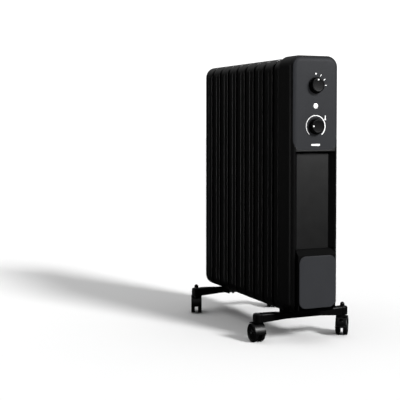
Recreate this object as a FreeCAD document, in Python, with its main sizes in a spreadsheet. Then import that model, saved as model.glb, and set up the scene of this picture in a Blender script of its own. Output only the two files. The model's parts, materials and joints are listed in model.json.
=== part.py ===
# Oil filled radiator heater on four casters, in millimetres.
# +Z is up, the control panel faces -Y, and the origin is on the floor under the middle of the heater.
import FreeCAD, Part
import math
import os
import re
import Sketcher

DRIVING = [
    ("overall_height", 622, "floor to the top of the housing"),
    ("overall_length", 470, "door front to the back of the last fin"),
    ("fin_count", 9, "pressed fins in the row"),
    ("fin_pitch", 46.5, "centre of one fin to the next"),
    ("fin_depth", 37.7, "depth of a fin's side band"),
    ("fin_width", 111, "width of a fin across its side bands"),
    ("fin_low", 61, "underside of the fins"),
    ("fin_high", 619, "top of the fins"),
    ("fin_corner", 26, "corner radius of a fin"),
    ("fin_sheet", 0.6, "sheet of one pressing"),
    ("fin_lip", 5, "width of the lip folded in from a side band"),
    ("fin_bend", 2, "outside radius of the band's folded edges"),
    ("channel_width", 72, "oil channel loop, across"),
    ("channel_margin", 16, "oil channel loop to the fin's top and bottom"),
    ("channel_bulge", 11, "thickness of the oil channel"),
    ("island_width", 30, "welded island inside the oil channel loop"),
    ("header_inset", 44, "header axis to the fin's top or bottom"),
    ("collar_radius", 17, "outside of a header collar"),
    ("collar_bore", 15.5, "inside of a header collar"),
    ("housing_width", 117, "control housing, across"),
    ("housing_low", 66, "underside of the housing"),
    ("housing_front", -223, "front plane of the housing"),
    ("housing_back", -166, "rear edge of the housing"),
    ("housing_corner", 24, "corner radius of the housing"),
    ("housing_round", 13, "rounding of the housing's front edges"),
    ("housing_wall", 2.5, "wall of the housing"),
    ("fin_play", 0.7, "gap between the first fin and what comes near it"),
    ("recess_floor", -211, "floor of the front recess"),
    ("recess_half", 39, "half width of the recess at its floor"),
    ("recess_rim", 50, "half width of the recess at its rim"),
    ("recess_high", 416, "top end of the recess"),
    ("bay_half", 47, "half width of the bay round the storage tub"),
    ("bay_high", 207, "top of that bay"),
    ("panel_half", 54, "half width of the control panel"),
    ("panel_low", 419.5, "lower edge of the control panel"),
    ("panel_high", 618, "upper edge of the control panel"),
    ("panel_corner", 21, "corner radius of the control panel"),
    ("panel_skin", 1.5, "thickness of the control panel"),
    ("mode_height", 558, "axis of the mode knob"),
    ("lamp_height", 513.6, "centre of the indicator"),
    ("dial_height", 470, "axis of the thermostat knob"),
    ("knob_radius", 18, "foot of a knob"),
    ("knob_depth", 11.2, "a knob from foot to face"),
    ("knob_gap", 0.6, "knob foot to the panel"),
    ("flute_count", 24, "grip flutes round a knob"),
    ("shaft_radius", 3, "switch shaft"),
    ("shaft_play", 0.05, "running clearance on radius"),
    ("lens_radius", 6.5, "indicator lens"),
    ("tub_half", 46, "half width of the storage tub"),
    ("tub_low", 70, "underside of the tub"),
    ("tub_high", 206, "top of the tub"),
    ("tub_front", -231.5, "front rim of the tub"),
    ("tub_wall", 2.2, "wall of the tub"),
    ("door_half", 44.85, "half width of the door"),
    ("door_low", 79.6, "lower edge of the door"),
    ("door_high", 192.3, "upper edge of the door"),
    ("door_corner", 16, "corner radius of the door"),
    ("door_front", -235, "face of the door"),
    ("door_skin", 3, "thickness of the door"),
    ("hinge_depth", -228.6, "hinge pin of the door, in depth"),
    ("hinge_height", 84, "hinge pin of the door, in height"),
    ("hinge_radius", 1.5, "hinge pin"),
    ("gland_across", 24, "cord gland off centre"),
    ("gland_height", 172, "cord gland height"),
    ("gland_bore", 3.8, "cord hole of the gland, radius"),
    ("shield_front", -183.2, "front of the heat shield"),
    ("shield_sheet", 1.2, "sheet of the heat shield"),
    ("stud_half", 44, "heat shield studs off centre"),
    ("stud_low", 190, "lower heat shield studs"),
    ("stud_high", 520, "upper heat shield studs"),
    ("boss_half", 50.6, "housing screw bosses off centre"),
    ("bar_reach", 107, "caster stem off centre"),
    ("bar_offset", 30.4, "U-bolt line to the caster line"),
    ("bar_half", 12, "half width of a foot bar's arm"),
    ("bar_top", 61, "top of a foot bar"),
    ("bar_sheet", 2, "sheet of a foot bar"),
    ("socket_radius", 11.5, "stem socket at a bar's end"),
    ("socket_low", 44.2, "underside of a stem socket"),
    ("socket_high", 63.2, "top of a stem socket"),
    ("bolt_radius", 2.5, "U-bolt rod"),
    ("stem_radius", 2.5, "caster stem in the fork"),
    ("wheel_radius", 20.5, "caster wheel"),
    ("wheel_width", 9, "one caster wheel"),
    ("wheel_inner", 4, "inner face of a wheel off centre"),
    ("trail", 8, "stem axis to wheel axle"),
    ("axle_radius", 2.5, "caster axle"),
    ("hood_inner", 21.3, "inside radius of a fork's hood"),
    ("hood_outer", 23.3, "outside radius of a fork's hood"),
    ("pedal_pivot", 17.3, "brake pedal pivot, out from and up from the axle"),
]
WORDS = {name for name, _, _ in DRIVING}
PLANES = {"x": "YZ_Plane", "y": "XZ_Plane", "z": "XY_Plane"}
# How far each caster has swivelled about its stem, in degrees.
CASTERS = {"front_left": 0, "front_right": 142, "rear_left": -23, "rear_right": 158}
BRAKED = ("front_right", "rear_left")

doc = FreeCAD.newDocument("oil_radiator")
sheet = doc.addObject("Spreadsheet::Sheet", "Sizes")
for row, (name, value, note) in enumerate(DRIVING, start=1):
    sheet.set(f"A{row}", note)
    sheet.set(f"B{row}", str(value))
    sheet.setAlias(f"B{row}", name)
doc.recompute()

exported = []


# ---------------------------------------------------------------- sizes and expressions
def bind(text):
    """An expression on the sheet: each driving name gets the sheet's own name in front."""
    return re.sub(r"[a-z][a-z_]+", lambda m: "Sizes." + m[0] if m[0] in WORDS else m[0], str(text))


def size(text):
    return float(sheet.evalExpression(bind(text)))


def placed(thing, x="0", y="0", z="0", turn=0):
    """Put a sub-part in place, turned about its own upright axis."""
    place = FreeCAD.Vector(size(x), size(y), size(z))
    thing.Placement = FreeCAD.Placement(place, FreeCAD.Rotation(FreeCAD.Vector(0, 0, 1), turn))
    for axis, text in (("x", x), ("y", y), ("z", z)):
        thing.setExpression(f".Placement.Base.{axis}", bind(text))
    return thing


def node(thing, label):
    """Name a finished sub-part and list it for export."""
    thing.Label = label
    exported.append(thing)
    return thing


# ---------------------------------------------------------------- sketch outlines
def constrain(sketch, kind, *terms, text):
    """Add a dimension and bind it to the sheet."""
    index = sketch.addConstraint(Sketcher.Constraint(kind, *terms, size(text)))
    sketch.renameConstraint(index, f"size_{index}")
    sketch.setExpression(f"Constraints.size_{index}", bind(text))


def circle(x, y, radius):
    def draw(sketch):
        centre = FreeCAD.Vector(size(x), size(y), 0)
        ring = sketch.addGeometry(Part.Circle(centre, FreeCAD.Vector(0, 0, 1), size(radius)))
        constrain(sketch, "DistanceX", -1, 1, ring, 3, text=x)
        constrain(sketch, "DistanceY", -1, 1, ring, 3, text=y)
        constrain(sketch, "Radius", ring, text=radius)
    return draw


def polygon(points):
    def draw(sketch):
        corners = [FreeCAD.Vector(size(x), size(y), 0) for x, y in points]
        ends = corners[1:] + corners[:1]
        lines = [sketch.addGeometry(Part.LineSegment(a, b)) for a, b in zip(corners, ends)]
        for here, following in zip(lines, lines[1:] + lines[:1]):
            sketch.addConstraint(Sketcher.Constraint("Coincident", here, 2, following, 1))
        for line, (x, y) in zip(lines, points):
            constrain(sketch, "DistanceX", -1, 1, line, 1, text=x)
            constrain(sketch, "DistanceY", -1, 1, line, 1, text=y)
    return draw


def rectangle(left, right, low, high):
    return polygon([(left, low), (right, low), (right, high), (left, high)])


def rounded(left, right, low, high, radius):
    """A rectangle with four equal round corners."""
    def draw(sketch):
        x0, x1, y0, y1, r = (size(t) for t in (left, right, low, high, radius))
        vector, up = FreeCAD.Vector, FreeCAD.Vector(0, 0, 1)
        runs = [((x0 + r, y0), (x1 - r, y0)), ((x1, y0 + r), (x1, y1 - r)),
                ((x1 - r, y1), (x0 + r, y1)), ((x0, y1 - r), (x0, y0 + r))]
        centres = [(x1 - r, y0 + r), (x1 - r, y1 - r), (x0 + r, y1 - r), (x0 + r, y0 + r)]
        lines, arcs = [], []
        for quarter, ((a, b), c) in enumerate(zip(runs, centres)):
            lines.append(sketch.addGeometry(Part.LineSegment(vector(*a, 0), vector(*b, 0))))
            start = (quarter - 1) * math.pi / 2
            bow = Part.ArcOfCircle(Part.Circle(vector(*c, 0), up, r), start, start + math.pi / 2)
            arcs.append(sketch.addGeometry(bow))
        for line, arc, following in zip(lines, arcs, lines[1:] + lines[:1]):
            sketch.addConstraint(Sketcher.Constraint("Tangent", line, 2, arc, 1))
            sketch.addConstraint(Sketcher.Constraint("Tangent", arc, 2, following, 1))
        for line, kind in zip(lines, ("Horizontal", "Vertical") * 2):
            sketch.addConstraint(Sketcher.Constraint(kind, line))
        for arc in arcs[1:]:
            sketch.addConstraint(Sketcher.Constraint("Equal", arcs[0], arc))
        constrain(sketch, "Radius", arcs[0], text=radius)
        constrain(sketch, "DistanceY", -1, 1, lines[0], 1, text=low)
        constrain(sketch, "DistanceX", -1, 1, lines[1], 1, text=right)
        constrain(sketch, "DistanceY", -1, 1, lines[2], 1, text=high)
        constrain(sketch, "DistanceX", -1, 1, lines[3], 1, text=left)
    return draw


# ---------------------------------------------------------------- features
def body(name):
    return doc.addObject("PartDesign::Body", name)


def sketched(part, axis, at, *outlines):
    """A sketch square to an axis of the body, at a distance along that axis."""
    sketch = part.newObject("Sketcher::SketchObject", "outline")
    plane = next(f for f in part.Origin.OriginFeatures if f.Role == PLANES[axis])
    sketch.AttachmentSupport = [(plane, "")]
    sketch.MapMode = "FlatFace"
    away = f"-({at})" if axis == "y" else at
    sketch.AttachmentOffset = FreeCAD.Placement(FreeCAD.Vector(0, 0, size(away)), FreeCAD.Rotation())
    sketch.setExpression(".AttachmentOffset.Base.z", bind(away))
    for draw in outlines:
        draw(sketch)
    return sketch


def add(part, axis, low, high, *outlines):
    """Pad outlines between two places on an axis. The XZ plane's own normal points to -Y."""
    pad = part.newObject("PartDesign::Pad", "pad")
    pad.Profile = sketched(part, axis, high if axis == "y" else low, *outlines)
    pad.setExpression("Length", bind(f"({high}) - ({low})"))
    return pad


def cut(part, axis, low, high, *outlines):
    """Pocket outlines between two places on an axis."""
    pocket = part.newObject("PartDesign::Pocket", "pocket")
    pocket.Profile = sketched(part, axis, low if axis == "y" else high, *outlines)
    pocket.setExpression("Length", bind(f"({high}) - ({low})"))
    return pocket


def turned(part, axis, reference, points, kind="Revolution"):
    """Revolve a profile about the sketch's own horizontal or vertical axis."""
    feature = part.newObject(f"PartDesign::{kind}", "turn")
    sketch = sketched(part, axis, "0", polygon(points))
    feature.Profile = sketch
    feature.ReferenceAxis = (sketch, [reference])
    feature.Angle = 360
    return feature


def rounded_edges(part, radius, chosen, kind="Fillet"):
    """Fillet or chamfer the edges of the body's last feature that `chosen` picks."""
    doc.recompute()
    tip = part.Tip
    names = [f"Edge{i}" for i, edge in enumerate(tip.Shape.Edges, start=1) if chosen(edge)]
    feature = part.newObject(f"PartDesign::{kind}", kind.lower())
    feature.Base = (tip, names)
    feature.setExpression("Radius" if kind == "Fillet" else "Size", bind(radius))
    return feature


def on_plane(axis, at):
    """Picks edges that lie wholly at one place on an axis."""
    place, letter = size(at), axis.upper()

    def chosen(edge):
        box = edge.BoundBox
        low, high = getattr(box, letter + "Min"), getattr(box, letter + "Max")
        return abs(low - place) < 0.01 and abs(high - place) < 0.01
    return chosen


def solid_group(label, shapes):
    """Several separate pieces of one kind in one node."""
    group = doc.addObject("Part::Feature", label)
    group.Shape = Part.makeCompound(shapes)
    return node(group, label)


def upright(x, y, low, high, radius):
    return Part.makeCylinder(size(radius), size(high) - size(low), FreeCAD.Vector(x, y, size(low)))


def lengthwise(x, z, front, back, radius):
    start = FreeCAD.Vector(x, size(front), z)
    return Part.makeCylinder(size(radius), size(back) - size(front), start, FreeCAD.Vector(0, 1, 0))


def hexagon(x, y, z, across, thick, direction):
    """A hexagonal nut or head, standing on (x, y, z) and growing along direction."""
    reach = across / 2 / math.cos(math.pi / 6)
    points = [FreeCAD.Vector(reach * math.cos(i * math.pi / 3), reach * math.sin(i * math.pi / 3), 0)
              for i in range(7)]
    prism = Part.Face(Part.makePolygon(points)).extrude(FreeCAD.Vector(0, 0, thick))
    turn = FreeCAD.Rotation(FreeCAD.Vector(0, 0, 1), direction)
    prism.Placement = FreeCAD.Placement(FreeCAD.Vector(x, y, z), turn)
    return prism


# ---------------------------------------------------------------- fins
FIRST_FIN = "overall_length/2 - fin_depth/2 - (fin_count-1)*fin_pitch"


def fin(number):
    """Two pressings welded back to back: side bands with lips, web, oil channel and collars."""
    last = number == int(size("fin_count"))
    part = body(f"fin_{number}")
    half, face = "fin_width/2", "fin_depth/2"
    add(part, "y", f"-{face}", face, rounded(f"-{half}", half, "fin_low", "fin_high", "fin_corner"))
    rounded_edges(part, "fin_bend", lambda e: on_plane("y", f"-{face}")(e) or on_plane("y", face)(e))
    tray = rounded(f"-{half} + fin_sheet", f"{half} - fin_sheet", "fin_low + fin_sheet",
                   "fin_high - fin_sheet", "fin_corner - fin_sheet")
    mouth = rounded(f"-{half} + fin_lip", f"{half} - fin_lip", "fin_low + fin_lip",
                    "fin_high - fin_lip", "fin_corner - fin_lip")
    cut(part, "y", f"-{face} + fin_sheet", "-fin_sheet", tray)
    cut(part, "y", "fin_sheet", f"{face} - fin_sheet", tray)
    cut(part, "y", f"-{face}", f"-{face} + fin_sheet", mouth)
    cut(part, "y", f"{face} - fin_sheet", face, mouth)
    loop_low, loop_high = "fin_low + channel_margin", "fin_high - channel_margin"
    loop = rounded("-channel_width/2", "channel_width/2", loop_low, loop_high, "channel_width/2 - 2")
    add(part, "y", "-channel_bulge/2", "channel_bulge/2", loop)
    island_low = "fin_low + channel_margin + (channel_width - island_width)"
    island_high = "fin_high - channel_margin - (channel_width - island_width)"
    island = rounded("-island_width/2", "island_width/2", island_low, island_high, "island_width/2 - 2")
    cut(part, "y", "-channel_bulge/2", "-fin_sheet", island)
    cut(part, "y", "fin_sheet", "channel_bulge/2", island)
    headers = ("fin_low + header_inset", "fin_high - header_inset")
    collar_back = "channel_bulge/2" if last else "fin_pitch/2"
    add(part, "y", "-fin_pitch/2", collar_back, *[circle("0", z, "collar_radius") for z in headers])
    inside = rounded("-channel_width/2 + fin_sheet", "channel_width/2 - fin_sheet",
                     f"{loop_low} + fin_sheet", f"{loop_high} - fin_sheet",
                     "channel_width/2 - 2 - fin_sheet")
    island_wall = rounded("-island_width/2 - fin_sheet", "island_width/2 + fin_sheet",
                          f"{island_low} - fin_sheet", f"{island_high} + fin_sheet",
                          "island_width/2 - 2 + fin_sheet")
    cut(part, "y", "-channel_bulge/2 + fin_sheet", "channel_bulge/2 - fin_sheet", inside, island_wall)
    bore_back = "channel_bulge/2 - fin_sheet" if last else "fin_pitch/2"
    cut(part, "y", "-fin_pitch/2", bore_back, *[circle("0", z, "collar_bore") for z in headers])
    placed(part, y=f"{FIRST_FIN} + {number - 1}*fin_pitch")
    return node(part, f"fin_{number}")


COLLAR_FRONT = f"{FIRST_FIN} - fin_pitch/2"
FIN_ROW_FRONT = f"{FIRST_FIN} - fin_depth/2"


def heating_element():
    """Two hairpin rods lying in the lower header, with cold pins through the flange."""
    rod, spread, reach = 3.25, 6.0, 350.0
    front, axis = size(COLLAR_FRONT), size("fin_low + header_inset")
    hairpins = []
    for side in (-1, 1):
        x = side * spread
        legs = [lengthwise(x, axis + dz, front - 8, front + reach, rod) for dz in (-spread, spread)]
        bend = Part.makeTorus(spread, rod, FreeCAD.Vector(x, front + reach, axis),
                              FreeCAD.Vector(1, 0, 0))
        keep = Part.makeBox(40, 40, 40, FreeCAD.Vector(x - 20, front + reach, axis - 20))
        pins = [lengthwise(x, axis + dz, front - 20, front - 8, 1.8) for dz in (-spread, spread)]
        hairpins.append(legs[0].fuse([legs[1], bend.common(keep)] + pins).removeSplitter())
    return solid_group("heating_element", hairpins)


def element_flange():
    """Hexagonal brass plug that screws into the lower header and holds the rods."""
    part = body("element_flange")
    front = COLLAR_FRONT
    turned(part, "z", "V_Axis", [("0", f"{front} - 8"), ("20", f"{front} - 8"), ("20", front),
                                 ("collar_bore", front), ("collar_bore", f"{front} + 9"),
                                 ("0", f"{front} + 9")])
    for x in ("-6", "6"):
        cut(part, "y", f"{front} - 8", f"{front} + 9", circle(x, "-6", "3.3"), circle(x, "6", "3.3"))
    placed(part, z="fin_low + header_inset")
    return node(part, "element_flange")


def oil_fill_plug():
    part = body("oil_fill_plug")
    front = COLLAR_FRONT
    turned(part, "z", "V_Axis", [("0", f"{front} - 4"), ("12", f"{front} - 4"), ("12", f"{front} - 2"),
                                 ("19", f"{front} - 2"), ("19", front), ("collar_bore", front),
                                 ("collar_bore", f"{front} + 7"), ("0", f"{front} + 7")])
    placed(part, z="fin_high - header_inset")
    return node(part, "oil_fill_plug")


# ---------------------------------------------------------------- heat shield
def stud_places():
    half = size("stud_half")
    return [(x, size(z)) for x in (-half, half) for z in ("stud_low", "stud_high")]


def boss_places():
    return [(x, z) for x in (-size("boss_half"), size("boss_half")) for z in (100.0, 395.0, 585.0)]


def heat_shield():
    """Steel plate between the hot fins and the housing, open round both headers."""
    part = body("heat_shield")
    front, back = "shield_front", "shield_front + shield_sheet"
    gap = "housing_wall + 0.4"

    def outline(inset):
        edge = f"housing_width/2 - ({inset})"
        return rounded(f"-({edge})", edge, f"housing_low + {inset}", f"overall_height - ({inset})",
                       f"housing_corner - ({inset})")
    add(part, "y", front, back, outline(gap))
    add(part, "y", back, f"{back} + 6", outline(gap), outline(f"{gap} + shield_sheet"))
    holes = [circle("0", z, "22") for z in ("fin_low + header_inset", "fin_high - header_inset")]
    holes += [circle(x, z, "2.6") for x in ("-stud_half", "stud_half") for z in ("stud_low", "stud_high")]
    holes += [circle(str(x), str(z), "1.8") for x, z in boss_places()]
    cut(part, "y", front, back, *holes)
    return node(part, "heat_shield")


def shield_studs():
    """Studs welded to the first fin's web, with a shoulder behind the shield."""
    web = size(f"{FIRST_FIN} - fin_sheet")
    studs = []
    for x, z in stud_places():
        post = lengthwise(x, z, "shield_front + shield_sheet", web, 4.5)
        studs.append(post.fuse(lengthwise(x, z, "shield_front - 7", web, 2.5)).removeSplitter())
    return solid_group("shield_studs", studs)


def shield_nuts():
    nuts = []
    for x, z in stud_places():
        nut = hexagon(0, 0, 0, 8.0, 4.0, 0)
        nut.Placement = FreeCAD.Placement(FreeCAD.Vector(x, size("shield_front"), z),
                                          FreeCAD.Rotation(FreeCAD.Vector(1, 0, 0), 90))
        nuts.append(nut.cut(lengthwise(x, z, "shield_front - 5", "shield_front + 1", 2.5)))
    return solid_group("shield_nuts", nuts)


# ---------------------------------------------------------------- housing
def front_form(name, inset):
    """The housing's outer form, drawn in by a distance."""
    form = body(name)
    edge = f"housing_width/2 - {inset}"
    add(form, "y", f"housing_front + {inset}", "housing_back",
        rounded(f"-({edge})", edge, f"housing_low + {inset}", f"overall_height - {inset}",
                f"housing_corner - {inset}"))
    rounded_edges(form, f"housing_round - {inset}", on_plane("y", f"housing_front + {inset}"))
    return form


def panel_prism(name, clearance):
    prism = body(name)
    half = f"panel_half + {clearance}"
    add(prism, "y", "housing_front - 5", "recess_floor - 2",
        rounded(f"-({half})", half, f"panel_low - {clearance}", f"panel_high + {clearance}",
                f"panel_corner + {clearance}"))
    return prism


def boolean(kind, name, base, tool):
    result = doc.addObject(f"Part::{kind}", name)
    result.Base, result.Tool = base, tool
    return result


def housing_shell():
    """Shell open at the back, with a seat for the panel, the long front recess and screw bosses."""
    shell = front_form("housing_form", "0")
    wall = "housing_wall"
    edge = f"housing_width/2 - {wall}"
    cut(shell, "y", f"recess_floor + {wall}", "housing_back",
        rounded(f"-({edge})", edge, f"housing_low + {wall}", f"overall_height - {wall}",
                f"housing_corner - {wall}"))
    cut(shell, "y", f"housing_front + panel_skin + {wall}", f"recess_floor + {wall}",
        rounded("-46", "46", "panel_low + 6", "overall_height - 13", "15"))
    slope = polygon([("-recess_rim", "housing_front - 0.6"), ("recess_rim", "housing_front - 0.6"),
                     ("recess_half", "recess_floor"), ("-recess_half", "recess_floor")])
    cut(shell, "z", "housing_low - 1", "recess_high", slope)
    cut(shell, "y", "housing_front - 1", "recess_floor",
        rectangle("-bay_half", "bay_half", "housing_low - 1", "bay_high"))
    rounded_edges(shell, "2", recess_rim_edge)
    cut(shell, "y", f"{FIN_ROW_FRONT} - fin_play", "housing_back + 1",
        rectangle("-housing_width", "housing_width", "housing_low - 1", "housing_low + housing_corner"))
    bosses = [circle(str(x), str(z), "4") for x, z in boss_places()]
    add(shell, "y", "recess_floor + 1", "shield_front", *bosses)
    pilots = [circle(str(x), str(z), "1.3") for x, z in boss_places()]
    cut(shell, "y", "shield_front - 14", "shield_front", *pilots)
    shafts = [circle("0", "mode_height", "5"), circle("0", "dial_height", "5"),
              circle("0", "lamp_height", "lens_radius - 1")]
    cut(shell, "y", "housing_front", f"housing_front + panel_skin + {wall} + 1", *shafts)
    gland = circle("gland_across", "gland_height", "7.2")
    cut(shell, "y", "recess_floor", f"recess_floor + {wall} + 1", gland)
    seat = boolean("Cut", "panel_seat", panel_prism("seat_prism", "0.25"),
                   front_form("seat_form", "panel_skin"))
    return node(boolean("Cut", "housing_shell", shell, seat), "housing_shell")


def recess_rim_edge(edge):
    """The two long upright edges where the recess meets the housing's front rounding."""
    box = edge.BoundBox
    near_rim = abs(abs(box.Center.x) - size("recess_rim")) < 1.5
    near_front = box.YMax < size("housing_front + 3")
    return near_rim and near_front and box.ZLength > 100


def control_panel():
    """Thin facing that follows the housing's rounded front edges, with holes for the controls."""
    whole = boolean("Common", "panel_blank", panel_prism("panel_prism", "0"), front_form("panel_form", "0"))
    bent = boolean("Cut", "panel_bent", whole, front_form("panel_inside", "panel_skin"))
    drills = body("panel_drills")
    add(drills, "y", "housing_front - 5", "recess_floor", circle("0", "mode_height", "4.5"),
        circle("0", "dial_height", "4.5"), circle("0", "lamp_height", "lens_radius"))
    return node(boolean("Cut", "control_panel", bent, drills), "control_panel")


def housing_screws():
    """Screws that go through the heat shield from behind into the housing's bosses."""
    screws = []
    for x, z in boss_places():
        shank = lengthwise(x, z, "shield_front - 12", "shield_front + shield_sheet", 1.3)
        head = lengthwise(x, z, "shield_front + shield_sheet", "shield_front + shield_sheet + 2.2", 3.2)
        screws.append(shank.fuse(head).removeSplitter())
    return solid_group("housing_screws", screws)


# ---------------------------------------------------------------- controls
def knob(label, height):
    """Fluted knob with a wide foot and a hub that grips the switch shaft."""
    part = body(label)
    turned(part, "z", "V_Axis", [("shaft_radius", "-knob_depth + 2.2"), ("0", "-knob_depth + 2.2"),
                                 ("0", "-knob_depth"), ("knob_radius - 3.4", "-knob_depth"),
                                 ("knob_radius - 2.2", "-knob_depth + 1.2"), ("knob_radius - 1.4", "-2.6"),
                                 ("knob_radius", "-2"), ("knob_radius", "0"), ("knob_radius - 3.6", "0"),
                                 ("knob_radius - 4.4", "-knob_depth + 3"), ("6", "-knob_depth + 3"),
                                 ("6", "0"), ("shaft_radius", "0")])
    flute = cut(part, "y", "-knob_depth - 1", "-2.6", circle("0", "knob_radius - 0.6", "1.3"))
    doc.recompute()
    ring = part.newObject("PartDesign::PolarPattern", "flutes")
    ring.Originals = [flute]
    ring.Axis = (next(f for f in part.Origin.OriginFeatures if f.Role == "Y_Axis"), [""])
    ring.Angle = 360
    ring.Occurrences = int(size("flute_count"))
    part.Tip = ring
    placed(part, y="housing_front - knob_gap", z=height)
    return node(part, label)


def shaft(label, height):
    part = body(label)
    add(part, "y", "housing_front - knob_gap - knob_depth + 2.4", "-204", circle("0", "0", "shaft_radius"))
    rounded_edges(part, "0.4", on_plane("y", "-204"), kind="Chamfer")
    placed(part, z=height)
    return node(part, label)


def switch_body(label, height, half_wide, half_high, back, tabs):
    """Switch case behind the panel wall, with a bushed bore for its shaft and spade tabs."""
    part = body(label)
    front = "housing_front + panel_skin + housing_wall"
    add(part, "y", front, back, rounded(f"-{half_wide}", half_wide, f"-{half_high}", half_high, "2"))
    for x, z in tabs:
        add(part, "y", back, f"{back} + 7", rectangle(f"{x} - 3", f"{x} + 3", f"{z} - 0.4", f"{z} + 0.4"))
    cut(part, "y", front, "-203.5", circle("0", "0", "shaft_radius + shaft_play"))
    placed(part, z=height)
    return node(part, label)


def indicator_lens():
    """Domed lens with a flange that sits behind the panel."""
    part = body("indicator_lens")
    front = "housing_front"
    turned(part, "z", "V_Axis", [("0", f"{front} - 1.2"), ("3.4", f"{front} - 1"),
                                 ("5.6", f"{front} - 0.4"), ("lens_radius", f"{front} + 0.2"),
                                 ("lens_radius", f"{front} + panel_skin"),
                                 ("lens_radius - 1", f"{front} + panel_skin"),
                                 ("lens_radius - 1", f"{front} + 5"), ("4", f"{front} + 5"),
                                 ("4", f"{front} + 1.5"), ("0", f"{front} + 1.5")])
    placed(part, z="lamp_height")
    return node(part, "indicator_lens")


def indicator_lamp():
    part = body("indicator_lamp")
    turned(part, "z", "V_Axis", [("0", "-219.5"), ("1.8", "-219.2"), ("3", "-217.5"), ("3", "-202"),
                                 ("4.5", "-202"), ("4.5", "-196"), ("0", "-196")])
    placed(part, z="lamp_height")
    return node(part, "indicator_lamp")


# ---------------------------------------------------------------- cord storage
def cord_tub():
    """Shallow tub for the coiled cord, with a sloping brow over the door and hinge ears."""
    part = body("cord_tub")
    back = "recess_floor"
    add(part, "y", "tub_front", back, rounded("-tub_half", "tub_half", "tub_low", "tub_high", "8"))
    brow = polygon([("tub_front - 1", "tub_high - 12.5"), ("tub_front", "tub_high - 12.5"),
                    ("tub_front + 6", "tub_high - 8"), ("tub_front + 13", "tub_high - 2.5"),
                    ("recess_floor - 1.5", "tub_high + 1"), ("tub_front - 1", "tub_high + 1")])
    cut(part, "x", "-tub_half - 1", "tub_half + 1", brow)
    sill = polygon([("tub_front - 1", "tub_low - 1"), ("tub_front + 9", "tub_low - 1"),
                    ("tub_front + 5", "tub_low + 6.3"), ("tub_front - 1", "tub_low + 6.3")])
    cut(part, "x", "-tub_half - 1", "tub_half + 1", sill)
    cut(part, "y", "tub_front", "recess_floor - tub_wall",
        rounded("-tub_half + tub_wall", "tub_half - tub_wall", "tub_low + 6.5", "door_high - 2.5", "13"))
    relief = polygon([("tub_front - 1", "tub_low + 5"), ("tub_front + 11", "tub_low + 5"),
                      ("tub_front + 11", "hinge_height + 8"), ("tub_front - 1", "hinge_height + 8")])
    cut(part, "x", "-door_half + 1.2", "door_half - 1.2", relief)
    ear = polygon([("tub_front + 0.6", "hinge_height - 2.4"), ("hinge_depth + 5.6", "hinge_height - 2.4"),
                   ("tub_front + 14", "hinge_height - 6"), ("tub_front + 14", "hinge_height + 3"),
                   ("tub_front + 0.6", "hinge_height + 3")])
    for low, high in (("-36", "-33"), ("33", "36")):
        add(part, "x", low, high, ear)
    add(part, "y", "tub_front + 14", "recess_floor",
        rectangle("-36", "-33", "hinge_height - 8", "hinge_height + 3"),
        rectangle("33", "36", "hinge_height - 8", "hinge_height + 3"))
    cut(part, "x", "-37", "37", circle("hinge_depth", "hinge_height", "hinge_radius"))
    cut(part, "y", "recess_floor - tub_wall - 1", "recess_floor",
        circle("gland_across", "gland_height", "7.2"))
    return node(part, "cord_tub")


def cord_door():
    """Door plate with rounded corners, a stiffening rim inside and two knuckles on the pin."""
    part = body("cord_door")
    inner = "door_front + door_skin"
    add(part, "y", "door_front", inner,
        rounded("-door_half", "door_half", "door_low", "door_high", "door_corner"))
    rounded_edges(part, "1.6", on_plane("y", "door_front"))
    arm = polygon([(inner, "hinge_height - 2.8"), ("hinge_depth", "hinge_height - 2.8"),
                   ("hinge_depth", "hinge_height + 2.8"), (inner, "hinge_height + 2.8")])
    for low, high in (("-32.5", "-24"), ("24", "32.5")):
        add(part, "x", low, high, arm)
        add(part, "x", low, high, circle("hinge_depth", "hinge_height", "2.8"))
    add(part, "y", inner, f"{inner} + 2.5", rectangle("-7", "7", "door_high - 9", "door_high - 7.5"))
    cut(part, "x", "-33", "33", circle("hinge_depth", "hinge_height", "hinge_radius + shaft_play"))
    return node(part, "cord_door")


def door_pin():
    part = body("door_pin")
    add(part, "x", "-36", "36", circle("hinge_depth", "hinge_height", "hinge_radius"))
    return node(part, "door_pin")


def tub_screw_places():
    return [(x, z) for x in (-28.0, 28.0) for z in (110.0, 150.0)]


def tub_screws():
    """Short screws that hold the tub's back to the housing."""
    screws = []
    for x, z in tub_screw_places():
        head = lengthwise(x, z, "recess_floor - tub_wall - 2", "recess_floor - tub_wall", 3)
        screws.append(head)
    return solid_group("tub_screws", screws)


def cord_gland():
    """Ribbed grommet through the tub's back: the mains cord would leave through it."""
    part = body("cord_gland")
    seat = "recess_floor - tub_wall"
    turned(part, "z", "V_Axis", [("gland_bore", f"{seat} - 8"), ("5.4", f"{seat} - 8"),
                                 ("6.6", f"{seat} - 3"), ("9.5", f"{seat} - 3"), ("9.5", seat),
                                 ("7.12", seat), ("7.12", "recess_floor + housing_wall + 7"),
                                 ("gland_bore", "recess_floor + housing_wall + 7")])
    placed(part, x="gland_across", z="gland_height")
    return node(part, "cord_gland")


def gland_nut():
    """Hexagonal nut on the gland, inside the housing."""
    front = size("recess_floor + housing_wall")
    nut = hexagon(0, 0, 0, 19.0, 4.0, 0)
    x, z = size("gland_across"), size("gland_height")
    nut.Placement = FreeCAD.Placement(FreeCAD.Vector(x, front + 4, z),
                                      FreeCAD.Rotation(FreeCAD.Vector(1, 0, 0), 90))
    return solid_group("gland_nut", [nut.cut(lengthwise(x, z, front - 1, front + 6, 7.2))])


# ---------------------------------------------------------------- electrics inside
def terminal_block():
    part = body("terminal_block")
    add(part, "y", "shield_front - 13", "shield_front", rectangle("-20", "20", "256", "272"))
    cut(part, "y", "shield_front - 13", "shield_front - 6",
        *[circle(str(x), "264", "3") for x in (-14, 0, 14)])
    return node(part, "terminal_block")


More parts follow.
